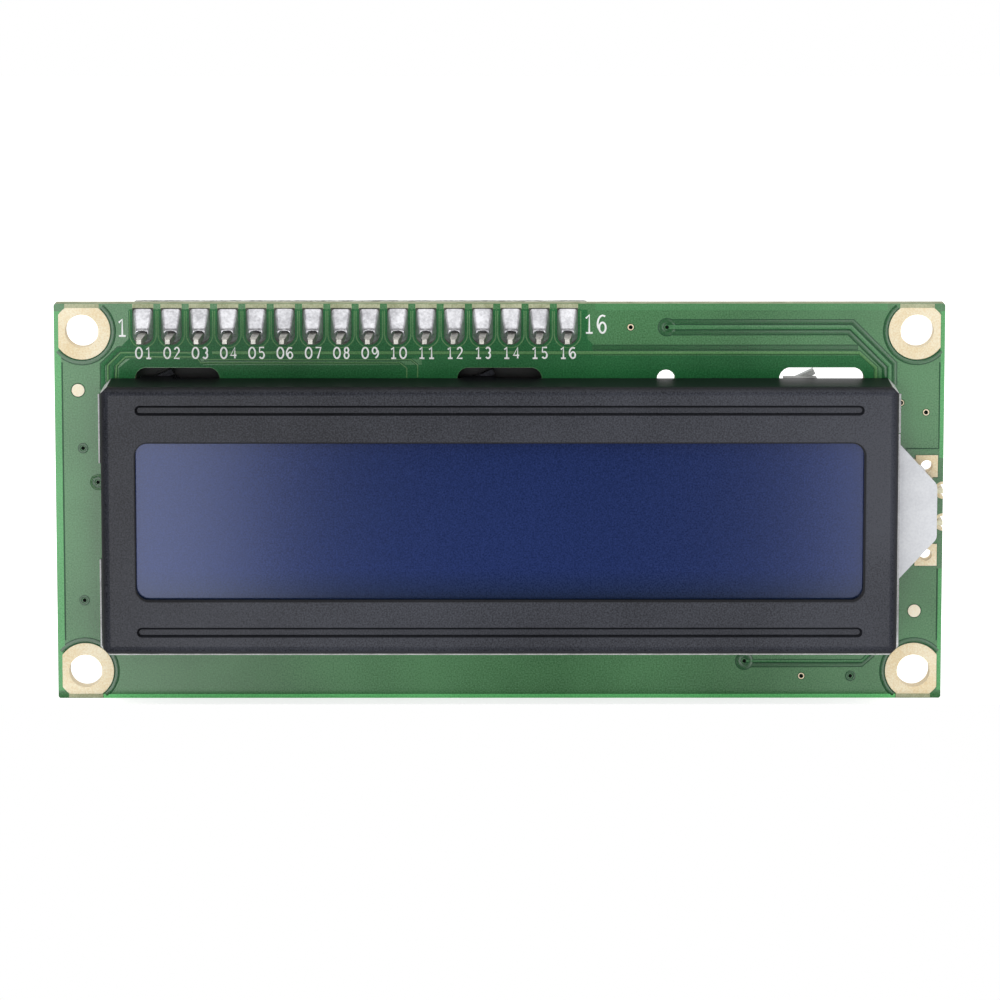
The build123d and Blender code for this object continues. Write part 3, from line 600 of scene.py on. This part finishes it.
# Mask openings along the board's edge, where the laminate itself shows: over the end of each
# header pad and beyond the flat of each mounting ring.
opening_end = 17.97
opening_top = 0.006
opening_shape = bmesh.new()
openings = [(place, 0.95, 17.52, opening_end) for place in pin_places]
openings += [(x * ring_x, 1.55, y * 17.5, y * opening_end) for x, y in ring_sides]
for middle, half, inner, outer in openings:
    plate(opening_shape, rectangle(middle - half, inner, middle + half, outer), 0.0, opening_top)
bare_laminate = surface("bare_laminate", (146, 152, 114), (190, 193, 160), 700, 6000, 1e-5, 0.5, 0.7)
make_piece("mask_openings", opening_shape, [bare_laminate])


# Through-plated holes: small drilled holes lined with copper, some covered by the mask and some
# with a bare gilded rim, and the two round marks that guide the machine that places the parts.
def washer(shape, x, y, inner, outer, high, segments=24):
    """Adds a flat ring to the front face."""
    made = bmesh.ops.create_circle(shape, cap_ends=True, segments=segments, radius=outer)
    middle = made["verts"][0].link_faces[0]
    rim = bmesh.ops.inset_region(shape, faces=[middle], thickness=outer - inner, use_boundary=True)["faces"]
    bmesh.ops.delete(shape, geom=[middle], context="FACES")
    top = raise_faces(shape, rim, high)
    ring = {v for f in rim if f.is_valid for v in f.verts} | set(top)
    bmesh.ops.translate(shape, verts=list(ring), vec=(x, y, 0.0))


def disc(shape, x, y, radius, high, segments):
    """Adds a round plate to the front face."""
    plate(shape, arc(x, y, radius, 0, 360 - 360 / segments, segments - 1), 0.0, high)


gilt_finish = (200, 7000, 2e-6, 0.45, 0.6)
gilt = surface("gilt_copper", (236, 214, 170), (255, 246, 220), *gilt_finish, metal=0.3)
bright_gilt = surface("bright_gilt", (250, 236, 204), (255, 250, 232), *gilt_finish)
gilt_top = 0.03
via_rims = bmesh.new()
for x, y in guide_marks:
    disc(via_rims, x, y, guide_radius, gilt_top, 32)
second_finish(via_rims)
for x, y in bare_vias:
    washer(via_rims, x, y, inner=0.19, outer=0.285, high=gilt_top)
make_piece("gilt_marks", via_rims, [gilt, bright_gilt])

# Dark discs in the middle of each hole: painted shade standing in for the depth of the drilled hole.
well_top = 0.024
via_hole_shade = bmesh.new()
for vias, radius in ((bare_vias, 0.2), (track_vias + covered_vias, 0.17)):
    for x, y in vias:
        disc(via_hole_shade, x, y, radius, well_top, 20)
hole_shade_dark = surface("via_hole_shade", (2, 8, 5), (8, 22, 14), 900, 6000, 1e-6, 0.5, 0.7, specular=0.05)
make_piece("via_hole_shade", via_hole_shade, [hole_shade_dark])

# Printed numbers: white ink on the mask, one number under each pin of the header and a larger
# one at each end of the row, drawn with a pen of even width.
pen_strokes = {
    "0": [arc(0.0, 0.0, 1.0, 90, 450, 20)],
    "1": [[(-0.55, 0.62), (0.05, 1.0), (0.05, -1.0)], [(-0.55, -1.0), (0.65, -1.0)]],
    "2": [[*arc(0.0, 0.45, 0.55, 165, -30, 12), (-0.62, -1.0), (0.68, -1.0)]],
    "3": [[*arc(0.0, 0.47, 0.53, 150, -75, 12), *arc(0.0, -0.45, 0.56, 75, -150, 12)]],
    "4": [[(0.35, -1.0), (0.35, 1.0), (-0.7, -0.45), (0.75, -0.45)]],
    "5": [[(0.6, 1.0), (-0.5, 1.0), (-0.55, 0.15), *arc(0.0, -0.4, 0.6, 110, -150, 14)]],
    "6": [[(0.5, 0.85), *arc(0.1, 0.0, 0.95, 95, 200, 8), *arc(0.02, -0.42, 0.58, 215, 560, 20)]],
    "7": [[(-0.65, 1.0), (0.65, 1.0), (-0.15, -1.0)]],
    "8": [arc(0.0, 0.5, 0.48, 90, 450, 18), arc(0.0, -0.45, 0.56, 90, 450, 18)],
    "9": [[*arc(-0.02, 0.42, 0.58, 0, -345, 20), *arc(-0.1, 0.0, 0.95, 20, -75, 8)]],
}
nought_width = 0.78
figure_pitch = 1.2


def print_number(routes, text, x, y, width, height, pen, flip=1):
    """Adds the pen strokes of a number, centred; the width is one figure's, flip -1 reads from behind."""
    for i, figure in enumerate(text):
        middle = x + flip * (i - (len(text) - 1) / 2) * width * figure_pitch
        squeeze = nought_width if figure == "0" else 1.0
        for stroke in pen_strokes[figure]:
            points = [(middle + flip * u * squeeze * width / 2, y + v * height / 2) for u, v in stroke]
            routes.append((pen, points))


label_shift = 0.05
label_y = 13.54
label_size = {"width": 0.72, "height": 0.98, "pen": 0.16}
number_routes = []
for number, place in enumerate(pin_places, start=1):
    print_number(number_routes, f"{number:02d}", place + label_shift, label_y, **label_size)
print_number(number_routes, "1", -33.88, 15.82, width=1.0, height=1.5, pen=0.17)
print_number(number_routes, str(pin_count), 8.63, 16.15, width=1.0, height=1.62, pen=0.17)
ink_top = 0.034
white_ink = surface("white_ink", (240, 244, 240), (255, 255, 255), 800, 7000, 1e-6, 0.5, 0.65)
line_piece("printed_numbers", number_routes, ink_top, 0.0, white_ink)

# Mounting rings: gilded copper round the four holes, on both faces and down the wall of the hole.
# They are cut off flat where they come close to the edge of the board.
rings_high = board_box("mounting_rings")[1]
hole_radius = 1.485
ring_radius = 2.58
ring_lift = 0.05
lining = 0.01
collar_bevel = 0.03


def cut_off(shape, point, normal):
    """Takes away what lies beyond a plane and closes the cut."""
    everything = [*shape.verts, *shape.edges, *shape.faces]
    cut = bmesh.ops.bisect_plane(shape, geom=everything, plane_co=point, plane_no=normal, clear_outer=True)
    rim = [e for e in cut["geom_cut"] if isinstance(e, bmesh.types.BMEdge)]
    bmesh.ops.holes_fill(shape, edges=rim, sides=0)


def join(shape, one):
    """Moves all of one shape into another."""
    spare = bpy.data.meshes.new("spare")
    one.to_mesh(spare)
    one.free()
    shape.from_mesh(spare)
    bpy.data.meshes.remove(spare)


def collar(shape, x, y, inner, outer, lift, flats=()):
    """Adds copper plating about a hole: a rim on each face of the board and the lining between."""
    one = bmesh.new()
    front = [(inner, lift), (outer - collar_bevel, lift), (outer, 0.0), (inner + lining, 0.0)]
    section = front + [(radius, back_face - height) for radius, height in reversed(front)]
    corners = [one.verts.new((radius, 0.0, height)) for radius, height in section]
    sides = [one.edges.new(pair) for pair in zip(corners, corners[1:] + corners[:1])]
    bmesh.ops.spin(
        one, geom=corners + sides, cent=(0, 0, 0), axis=(0, 0, 1), angle=tau, steps=64, use_merge=True
    )
    for normal, reach in flats:
        cut_off(one, Vector(normal) * reach, normal)
    bmesh.ops.translate(one, verts=one.verts, vec=(x, y, 0.0))
    join(shape, one)


ring_shape = bmesh.new()
for side_x, side_y in ring_sides:
    flats = [((side_x, 0, 0), rings_high.x - ring_x), ((0, side_y, 0), rings_high.y - ring_y)]
    collar(ring_shape, side_x * ring_x, side_y * ring_y, hole_radius, ring_radius, ring_lift, flats)
make_piece("plated_rings", ring_shape, [gilt], replaced=["mounting_rings"])

# Header pads and backlight pads: copper on the front face, tinned under the header's solder and
# gilded at the backlight, whose holes and half holes are lined. The header pads run out towards the
# top edge.
pads_low, pads_high = board_box("header_pads")
pad_half = (pads_high.x - pads_low.x - (pin_count - 1) * pin_pitch) / 2
pad_shape = bmesh.new()
for place in pin_places:
    lower_end = arc(place, pin_row, pad_half, 180, 360, 20)
    upper_end = [(place + pad_half, pads_high.y), (place - pad_half, pads_high.y)]
    plate(pad_shape, [*lower_end, *upper_end], 0.0, pads_high.z)
# The tin of the pads is painted dark, as the shade that lies round the foot of each solder joint.
tinned = surface("tinned_pads_painted_shade", (40, 44, 38), (84, 86, 78), 700, 6000, 4e-6, 0.35, 0.5, metal=0.6)
make_piece("plated_pads", pad_shape, [tinned], replaced=["header_pads"])
dress(gilt, "backlight_pads")

lining_shape = bmesh.new()
for y in lamp_pads:
    collar(lining_shape, lamp_pads_low.x + lamp_pad_size / 2, y, inner=0.535, outer=0.72, lift=0.06)
leg_y = middle_of("backlight_led").y
leg_reach = 1.45
board_side = [((1, 0, 0), 0.0)]
for y in (leg_y + leg_reach, leg_y - leg_reach):
    collar(lining_shape, board_high.x, y, inner=0.56, outer=0.8, lift=0.04, flats=board_side)
make_piece("hole_linings", lining_shape, [gilt])

# Backlight: a clear moulded plate between white films, lit from its tongue by one lamp whose legs
# are bent out to half holes in the edge of the board.
white_film = surface("white_film", (210, 212, 217), (224, 226, 230), 400, 5200, 2e-6, 0.42, 0.55)
dress(white_film, "reflector_film", "diffuser_film", "tongue_film")
clear_tones = ((206, 212, 214), (224, 229, 230))
clear_plate = surface("clear_plate", *clear_tones, 300, 4200, 1e-6, 0.08, 0.16, clear=0.75)
dress(clear_plate, "light_guide")
lamp_epoxy = surface("lamp_epoxy", (218, 214, 180), (236, 232, 204), 500, 4000, 2e-6, 0.25, 0.4)
dress(lamp_epoxy, "backlight_led")


# Display: two plates of glass with the liquid crystal between them and a polarizing film on each
# face. Rubber strips in fine layers carry the contacts from the board to the front glass.
def lower_edge(tree):
    """Nought over most of the window, one along its lower edge, where the film is painted darker as shade.
    """
    return map_range(tree, axes(tree, "TexCoord", "Object")["Z"], from_min=-0.0052, from_max=-0.0082)


# The film is painted darker towards the lower edge of the window: painted shade from the window's recess.
film_finish = (12, 7200, 5e-8, 0.12, 0.135)
lit_film = ((6, 24, 62), (32, 49, 101), *film_finish)
shaded_film = ((4, 20, 40), (28, 42, 68), *film_finish)
film_gleam = (0.64, 0.7, 1.0, 1.0)
deep_blue = two_surfaces("deep_blue_film", lit_film, shaded_film, lower_edge, reflected=film_gleam)
dress(deep_blue, "front_polarizer", "rear_polarizer")
glass_tones = ((176, 196, 190), (188, 206, 200))
plate_glass = surface("plate_glass", *glass_tones, 200, 3000, 2e-7, 0.05, 0.1, clear=0.85)
dress(plate_glass, "front_glass", "rear_glass")
layered_rubber = surface("layered_rubber", (30, 30, 32), (190, 120, 130), 3500, 9000, 3e-6, 0.5, 0.7)
dress(layered_rubber, "upper_zebra_strip", "lower_zebra_strip")

# Bezel: one sheet of steel, pressed and bent, painted satin black before it was trimmed. The
# metal shows at the turned-out foot and at the cut corners. Tabs twisted behind the board hold it;
# the two on the right are given bare steel, a painted highlight where light from behind falls on them.
# Its paint is darker and duller where the sheet turns away and in a line round the window: painted
# shade, round the window together with the dark cut edge of the sheet. Lengths in metres.
foot_height = 0.00038
foot_right = 0.03588
foot_left = -0.03598
foot_under = -0.01366
foot_corner = 0.04907
cut_slope = 0.46
cut_reach = 0.0345
tab_start = 0.0003
lit_tabs_from = 0.02


def trim_mask(tree):
    """One on the bare foot, the slanted cuts of the corners and the two right-hand tabs, whose bare steel is
    a painted highlight; nought on the paint.
    """
    place = axes(tree, "TexCoord", "Object")
    facing = axes(tree, "NewGeometry", "True Normal")
    step = partial(calc, tree)
    low = step("GREATER_THAN", place["Y"], -foot_height)
    front = step("LESS_THAN", place["Y"], 0.0)
    right = step("GREATER_THAN", place["X"], foot_right)
    side = step("MAXIMUM", right, step("LESS_THAN", place["X"], foot_left))
    under = step("LESS_THAN", place["Z"], foot_under)
    across = step("ABSOLUTE", place["X"])
    corner = step("GREATER_THAN", step("SUBTRACT", across, place["Z"]), foot_corner)
    margin = step("MAXIMUM", step("MAXIMUM", side, under), corner)
    foot = step("MULTIPLY", step("MULTIPLY", low, front), margin)
    slope = step("ABSOLUTE", step("MULTIPLY", facing["X"], facing["Z"]))
    outer = step("GREATER_THAN", across, cut_reach)
    slanted = step("MULTIPLY", step("GREATER_THAN", slope, cut_slope), outer)
    # The two tabs on the right are given bare steel as a painted highlight, for the light that reaches them
    # from behind the board; the others stay painted.
    behind = step("GREATER_THAN", place["Y"], tab_start)
    lit_tabs = step("MULTIPLY", behind, step("GREATER_THAN", place["X"], lit_tabs_from))
    return step("MAXIMUM", step("MAXIMUM", foot, slanted), lit_tabs)


paint_grain = (40, 7200, 1e-7)
black_paint = ((36, 37, 42), (68, 70, 78), *paint_grain, 0.22, 0.26)
shaded_paint = ((11, 11, 14), (32, 33, 38), *paint_grain, 0.36, 0.42)
bare_steel = ((190, 191, 191), (232, 233, 233), 900, 6000, 2e-6, 0.4, 0.55)
paint_shine = {"second_metal": 0.15, "specular": 0.13}
bezel_paint = two_surfaces("bezel_paint", black_paint, bare_steel, trim_mask, **paint_shine)
paint_tree = bezel_paint.node_tree

window_half = (0.0324, 0.00705)
window_corner = 0.0011
window_middle = (0.00005, 0.0, -0.00085)
line_start = 0.0002
line_full = 0.00012
from_window = add_node(paint_tree, "TexCoord").outputs["Object"]
for operation, values in (
    ("SUBTRACT", window_middle),
    ("MULTIPLY", (1.0, 0.0, 1.0)),
    ("ABSOLUTE", (0.0, 0.0, 0.0)),
    ("SUBTRACT", (window_half[0] - window_corner, 0.0, window_half[1] - window_corner)),
    ("MAXIMUM", (0.0, 0.0, 0.0)),
):
    stage = add_node(paint_tree, "VectorMath", {0: from_window, 1: values}, operation=operation)
    from_window = stage.outputs["Vector"]
distance = add_node(paint_tree, "VectorMath", {0: from_window}, operation="LENGTH").outputs["Value"]
# A thin line of the paint along the window's edge is painted darker: shade, with the sheet's dark cut edge.
near = {"from_min": window_corner + line_full, "from_max": window_corner + line_start}
window_shade_line = map_range(paint_tree, distance, **near, to_min=1.0, to_max=0.0)
# Painted shade: the paint is made darker and duller where its normal turns away from the front.
facing_out = axes(paint_tree, "NewGeometry", "Normal")["Y"]
turned = map_range(paint_tree, facing_out, from_min=-0.97, from_max=-0.55)
shaded = calc(paint_tree, "MAXIMUM", turned, window_shade_line)
paint_inputs = next(node for node in paint_tree.nodes if node.type == "GROUP").inputs
for label, flat, dark in zip(mottle_tones, black_paint, shaded_paint):
    tones = {"Factor": shaded, "A": tint(*flat), "B": tint(*dark)}
    shade = add_node(paint_tree, "Mix", tones, data_type="RGBA")
    paint_tree.links.new(shade.outputs["Result"], paint_inputs[label])
for label, flat, dull in zip(("Smooth", "Rough"), black_paint[-2:], shaded_paint[-2:]):
    paint_tree.links.new(map_range(paint_tree, shaded, to_min=flat, to_max=dull), paint_inputs[label])
dress(bezel_paint, "bezel")

# Lip over the tongue: where the wall is cut away for the backlight's tongue, a narrow strip of
# bare steel carries the line of the foot on and lies on the tongue's film.
tongue_low, tongue_high = board_box("tongue_film")
lip_inner = 35.66
lip_outer = 35.85
lip_thickness = 0.08
lip_below = 0.2
lip_above = 0.6
lip_outline = rectangle(lip_inner, tongue_low.y - lip_below, lip_outer, tongue_high.y + lip_above)
lip_shape = bmesh.new()
plate(lip_shape, lip_outline, tongue_high.z, tongue_high.z + lip_thickness)
lip_steel = surface("lip_steel", (196, 197, 200), (228, 229, 232), 900, 6000, 1e-6, 0.4, 0.55)
make_piece("tongue_lip", lip_shape, [lip_steel])

# Drops of black epoxy on the back of the board, each over a bare chip, poured and cured in place.
# Their edges wander a little inside a printed ring.
drop_finish = surface("black_epoxy", (14, 14, 15), (26, 26, 28), 160, 1800, 1.2e-5, 0.2, 0.34)
drop_size = 0.97
drop_bulge = 0.8
for name, piece_name in drop_names.items():
    drop_low, drop_high = board_box(name)
    middle = middle_of(name)
    half = drop_high - middle
    drop = bmesh.new()
    bmesh.ops.create_uvsphere(drop, u_segments=64, v_segments=32, radius=1.0)
    cut_off(drop, (0, 0, 0), (0, 0, 1))
    for v in drop.verts:
        turn = atan2(v.co.y, v.co.x)
        spread = drop_size + 0.02 * sin(3 * turn + middle.x) + 0.01 * sin(7 * turn)
        v.co.x = middle.x + half.x * spread * v.co.x
        v.co.y = middle.y + half.y * spread * v.co.y
        v.co.z = drop_high.z - (drop_high.z - drop_low.z) * abs(v.co.z) ** drop_bulge
    make_piece(piece_name, drop, [drop_finish], replaced=[name], sharp=60.0)
outline_room = 0.35
outlines = [(0.16, arc(drop.x, drop.y, drop_radius + outline_room, steps=72)) for drop in drop_middles]
outline_top = 0.03
line_piece("drop_outlines", outlines, outline_top, back_face, white_ink)

# Chip parts: small ceramic blocks with tinned ends, soldered flat to a board face. The resistors
# have a black coat on top, and the capacitors are plain tan ceramic.
chip_edge = 0.035


def block(shape, low, high, finish):
    """Adds a block with softened edges between two corners, in one of the piece's finishes."""
    one = bmesh.new()
    size = Vector(high) - Vector(low)
    place = Matrix.Translation((Vector(low) + Vector(high)) / 2) @ Matrix.Diagonal((*size, 1.0))
    bmesh.ops.create_cube(one, size=1.0, matrix=place)
    bmesh.ops.bevel(
        one, geom=one.edges[:], offset=chip_edge, affect="EDGES", segments=2, profile=0.5, material=-1
    )
    for face in one.faces:
        face.material_index = finish
    join(shape, one)


def chips(shape, places, length, width, low, high, upright):
    """Adds a row of chip parts, each a body, two tinned ends and the solder at their feet."""
    reach = length / 2
    end = 0.22 * length
    cap = reach - end
    body = reach - 0.8 * end
    foot = reach + 0.22
    solder = high - 0.4 * (high - low)
    for x, y in places:
        for low_end, high_end, inset, bottom, top, finish in (
            (-body, body, 0.03, low + 0.04, high, 0),
            (-reach, -cap, 0.0, low + 0.02, high - 0.03, 1),
            (cap, reach, 0.0, low + 0.02, high - 0.03, 1),
            (-foot, -cap, -0.04, solder, high, 2),
            (cap, foot, -0.04, solder, high, 2),
        ):
            half = width / 2 - inset
            if upright:
                corners = ((x - half, y + low_end, bottom), (x + half, y + high_end, top))
            else:
                corners = ((x + low_end, y - half, bottom), (x + high_end, y + half, top))
            block(shape, *corners, finish)


chip_black = surface("resistor_coat", (18, 18, 20), (34, 34, 36), 700, 6000, 3e-6, 0.4, 0.55)
chip_tan = surface("capacitor_ceramic", (150, 118, 84), (176, 144, 108), 700, 6000, 3e-6, 0.45, 0.6)
tin_tones = ((168, 168, 166), (208, 208, 206))
chip_tin = surface("tinned_ends", *tin_tones, 900, 6000, 3e-6, 0.3, 0.45, metal=0.9)
solder_tones = ((176, 178, 182), (226, 228, 230))
bright_solder = surface("solder", *solder_tones, 900, 2600, 1.4e-5, 0.16, 0.34, metal=0.95)
large_chip = (2.0, resistor_width)
small_chip = (1.6, 0.8)
for name, count, (length, width), body_finish, slot, upright in (
    ("board_resistors", resistor_count, large_chip, chip_black, "chip_black", True),
    ("board_capacitors", 2, large_chip, chip_tan, "chip_tan", False),
    ("adapter_resistors", 6, small_chip, chip_black, "chip_black", False),
    ("adapter_capacitors", 2, large_chip, chip_tan, "chip_tan", True),
):
    row_low, row_high = board_box(name)
    row_y = middle_of(name).y
    row_places = row_of(row_low.x, row_high.x, width if upright else length, count)
    row_shape = bmesh.new()
    chips(row_shape, [(x, row_y) for x in row_places], length, width, row_low.z, row_high.z, upright)
    make_piece(f"{name}_set", row_shape, [body_finish, chip_tin, bright_solder], replaced=[name])

# Pin header: a strip of eight-sided cells moulded in black round square brass pins, tinned.
# It stands between the two boards, and its pins go through both.
moulded_black = surface("moulded_black", (20, 20, 21), (34, 34, 35), 300, 4200, 4e-6, 0.42, 0.58)
dress(moulded_black, "header_strip", "bus_header_strip", "jumper_header_strip", "jumper_cap")
pin_tones = ((176, 172, 160), (222, 218, 208))
pin_metal = surface("tinned_brass", *pin_tones, 700, 3600, 4e-6, 0.22, 0.36, metal=0.92)
dress(pin_metal, "bus_header_pins", "jumper_header_pins", "trimmer_legs")
dress(pin_metal, "expander_leads", "transistor_leads", "jumper_clip")


def bridge(shape, loops):
    """Joins loops of edges one after another into a closed skin."""
    for lower, upper in zip(loops, loops[1:]):
        bmesh.ops.bridge_loops(shape, edges=lower + upper)
    for ends in (loops[0], loops[-1]):
        bmesh.ops.holes_fill(shape, edges=ends, sides=0)


def square_pin(shape, x, y, levels):
    """Adds a square pin through levels, each a height, half a side and a shift across and up."""
    loops = []
    for height, half, across, up in levels:
        place = Matrix.Translation((x + across, y + up, height)) @ Matrix.Rotation(pi / 4, 4, "Z")
        made = bmesh.ops.create_circle(shape, segments=4, radius=half * sqrt(2), matrix=place)["verts"]
        loops.append(list({e for v in made for e in v.link_edges}))
    bridge(shape, loops)


pin_half = pin_size / 2
pin_tip = 0.2
pins_shape = bmesh.new()
for place in pin_places:
    square_pin(pins_shape, place, pin_row, (
        (pins_low.z, pin_tip, 0.0, 0.0),
        (pins_low.z + 0.3, pin_half, 0.0, 0.0),
        (-3.0, pin_half, 0.0, 0.0),
        (0.9, pin_half, 0.1, 0.02),
        (pins_high.z - 0.25, pin_half - 0.02, -0.06, -0.09),
        (pins_high.z, pin_tip, -0.08, -0.1),
    ))
# The header's pins have a darker copy of the tinned brass that the other pins have.
darker_pin = surface("darker_pins", (142, 140, 135), (198, 196, 189), 900, 3600, 4e-6, 0.26, 0.4, metal=0.8)
make_piece("leaning_pins", pins_shape, [darker_pin], replaced=["header_pins"])

# Front solder: at each pin a bright ramp runs from the end of the pad up to the pin and wraps it,
# hollow in the middle of its height, as solder is when it wets both.
skirt_bows = (0.8, 1.1, 1.5)
skirt_round = 2.2
skirt_dip = 0.2


def solder_skirt(shape, x, y, foot, top, foot_reach, top_reach, square, rounds=8, segments=36):
    """Adds solder about a pin; each reach is half the width, then how far it goes up and down."""
    loops = []
    for i in range(rounds + 1):
        share = i / rounds
        half, up, down = (
            t + (f - t) * (1 - share) ** bow for f, t, bow in zip(foot_reach, top_reach, skirt_bows)
        )
        made = bmesh.ops.create_circle(shape, segments=segments, radius=1.0)["verts"]
        loops.append(list({e for v in made for e in v.link_edges}))
        for v in made:
            power = 2 / (square if v.co.y > 0 else skirt_round)
            wide = abs(v.co.x) ** power * (1 if v.co.x > 0 else -1)
            high = abs(v.co.y) ** power
            tall = up * high if v.co.y > 0 else (1 - high) * skirt_dip * share - down * high
            v.co = (x + half * wide, y + tall, foot + (top - foot) * share)
    bridge(shape, loops)


chance = random.Random(16)
joint_low, joint_high = board_box("header_solder")
joint_reach = joint_high.y - pin_row
joint_shape = bmesh.new()
for place in pin_places:
    swell = chance.uniform(0.95, 1.0)
    crest = chance.uniform(0.5, 0.6)
    top = joint_high.z - chance.uniform(0.0, 0.12)
    foot_reach = (0.94 * swell, joint_reach - chance.uniform(0.0, 0.04), 0.7 * swell)
    solder_skirt(joint_shape, place, pin_row, joint_low.z, top, foot_reach, (crest, 0.68, -0.56), square=8.0)
joint_tones = ((172, 172, 176), (228, 228, 232))
front_solder = surface("front_solder", *joint_tones, 700, 3600, 5e-6, 0.28, 0.4, metal=0.7)
make_piece("pin_solder", joint_shape, [front_solder], replaced=["header_solder"], sharp=60.0)

# Adapter board: black mask over laminate, snapped from a panel, so its edges are rough and pale.
# Its tracks show as low ridges in the mask.
adapter_grain = (260, 5200)
adapter_mask = ((15, 15, 17), (26, 26, 29), *adapter_grain, 2e-6, 0.3, 0.42)
snapped_edge = ((84, 86, 82), (226, 227, 222), 1100, 2600, 4e-5, 0.7, 0.9)
black_mask = two_surfaces("black_mask", adapter_mask, snapped_edge, edge_mask)
dress(black_mask, "adapter_board")
adapter_low, adapter_high = board_box("adapter_board")
lead_low, lead_high = board_box("expander_leads")
chip_low, chip_high = board_box("expander_chip")
lead_count = 8
lead_pitch = 1.27
lead_middle = middle_of("expander_leads").x
lead_places = [lead_middle + (i - (lead_count - 1) / 2) * lead_pitch for i in range(lead_count)]
lead_room = 0.6
track_room = 0.9
slant_start = 3.0
slant = 1.2
track_width = 0.32
adapter_routes = []
for pin_x, lead_x in zip(pin_places[1:], lead_places):
    lead_y = lead_high.y + lead_room
    bend_y = min(lead_y + abs(pin_x - lead_x), pin_row - track_room)
    points = [(pin_x, pin_row), (pin_x, bend_y), (lead_x, lead_y), (lead_x, chip_high.y)]
    adapter_routes.append((track_width, points))
for lead_x in lead_places:
    adapter_routes.append((track_width, [(lead_x, chip_low.y), (lead_x, lead_low.y - track_room)]))
for pin_x in pin_places[10:15]:
    slant_y = pin_row - slant_start
    points = [(pin_x, pin_row), (pin_x, slant_y), (pin_x - slant, slant_y - slant)]
    adapter_routes.append((track_width, points))
ridge_top = 0.03
ridge_tones = ((27, 27, 30), (42, 42, 46))
raised_mask = surface("black_mask_over_track", *ridge_tones, *adapter_grain, 1e-6, 0.3, 0.42)
line_piece("adapter_tracks", adapter_routes, ridge_top, adapter_low.z, raised_mask)

# Pads and print on the adapter: tinned pads under the chip's leads, and white lines with plain
# numbers that show where each part goes.
pad_side = 0.3
pad_out = 0.4
pad_in = 0.6
pad_lift = 0.04
lead_pads = bmesh.new()
for lead_x in lead_places:
    for lower, upper in (
        (lead_high.y - pad_in, lead_high.y + pad_out),
        (lead_low.y - pad_out, lead_low.y + pad_in),
    ):
        corners = rectangle(lead_x - pad_side, lower, lead_x + pad_side, upper)
        plate(lead_pads, corners, adapter_low.z - pad_lift, adapter_low.z)
make_piece("lead_pads", lead_pads, [bright_solder])
part_room = {"trimmer_body": 0.3, "expander_chip": 0.25, "bus_header_strip": 0.35, "power_led": 0.3}
bus_count = 4
print_routes = []
for name, room in part_room.items():
    part_low, part_high = board_box(name)
    line = rectangle(part_low.x - room, part_low.y - room, part_high.x + room, part_high.y + room)
    print_routes.append((0.15, [*line, line[0]]))
number_room = 3.4
number_x = board_box("bus_header_strip")[1].x + number_room
for i in range(bus_count):
    number_y = middle_of("bus_header_strip").y + ((bus_count - 1) / 2 - i) * pin_pitch
    print_number(print_routes, str(i + 1), number_x, number_y, width=0.8, height=1.2, pen=0.16, flip=-1)
print_top = 0.045
line_piece("adapter_print", print_routes, print_top, adapter_low.z, white_ink)

# Solder on the adapter: a small hollow-sided cone about each pin and leg, on the face where the
# pin comes out.
cone_height = 0.9
cone_foot = 0.8
cone_top = 0.4
leg_half = 0.25
bus = middle_of("bus_header_solder")
jump_x = middle_of("jumper_header_solder").x
leg_low, leg_high = board_box("trimmer_legs")
leg_places = [
    (leg_low.x + leg_half, leg_low.y + leg_half),
    (middle_of("trimmer_legs").x, leg_high.y - leg_half),
    (leg_high.x - leg_half, leg_low.y + leg_half),
]
cone_groups = {
    "adapter_header_solder": [(place, pin_row) for place in pin_places],
    "bus_header_solder": [(bus.x, bus.y + (i - (bus_count - 1) / 2) * pin_pitch) for i in range(bus_count)],
    "jumper_header_solder": [(jump_x, bus.y + side * pin_pitch / 2) for side in (-1, 1)],
    "trimmer_solder": leg_places,
}
for name, places in cone_groups.items():
    foot, top = adapter_high.z, adapter_high.z + cone_height
    if name == "adapter_header_solder":
        foot, top = adapter_low.z, adapter_low.z - cone_height
    cone_shape = bmesh.new()
    for x, y in places:
        reach = cone_foot * chance.uniform(0.93, 1.0)
        solder_skirt(cone_shape, x, y, foot, top, [reach] * 3, [cone_top] * 3, 2.0, rounds=6, segments=24)
    make_piece(f"{name}_cones", cone_shape, [bright_solder], replaced=[name], sharp=50.0)

# Chips and trimmer on the adapter: moulded epoxy bodies, a blue trimmer block with a white rotor
# that a screwdriver turns, and a red lamp.
epoxy_body = surface("moulded_epoxy", (24, 24, 26), (40, 40, 42), 400, 4200, 6e-6, 0.5, 0.65)
dress(epoxy_body, "expander_chip", "transistor_body")
trimmer_blue = surface("trimmer_blue", (18, 62, 148), (28, 80, 172), 260, 3600, 3e-6, 0.3, 0.42)
dress(trimmer_blue, "trimmer_body")
rotor_white = surface("rotor_white", (222, 220, 212), (238, 236, 230), 400, 4200, 3e-6, 0.34, 0.48)
dress(rotor_white, "trimmer_rotor")
lamp_red = surface("lamp_red", (150, 30, 24), (190, 60, 48), 500, 4200, 2e-6, 0.2, 0.34)
dress(lamp_red, "power_led")
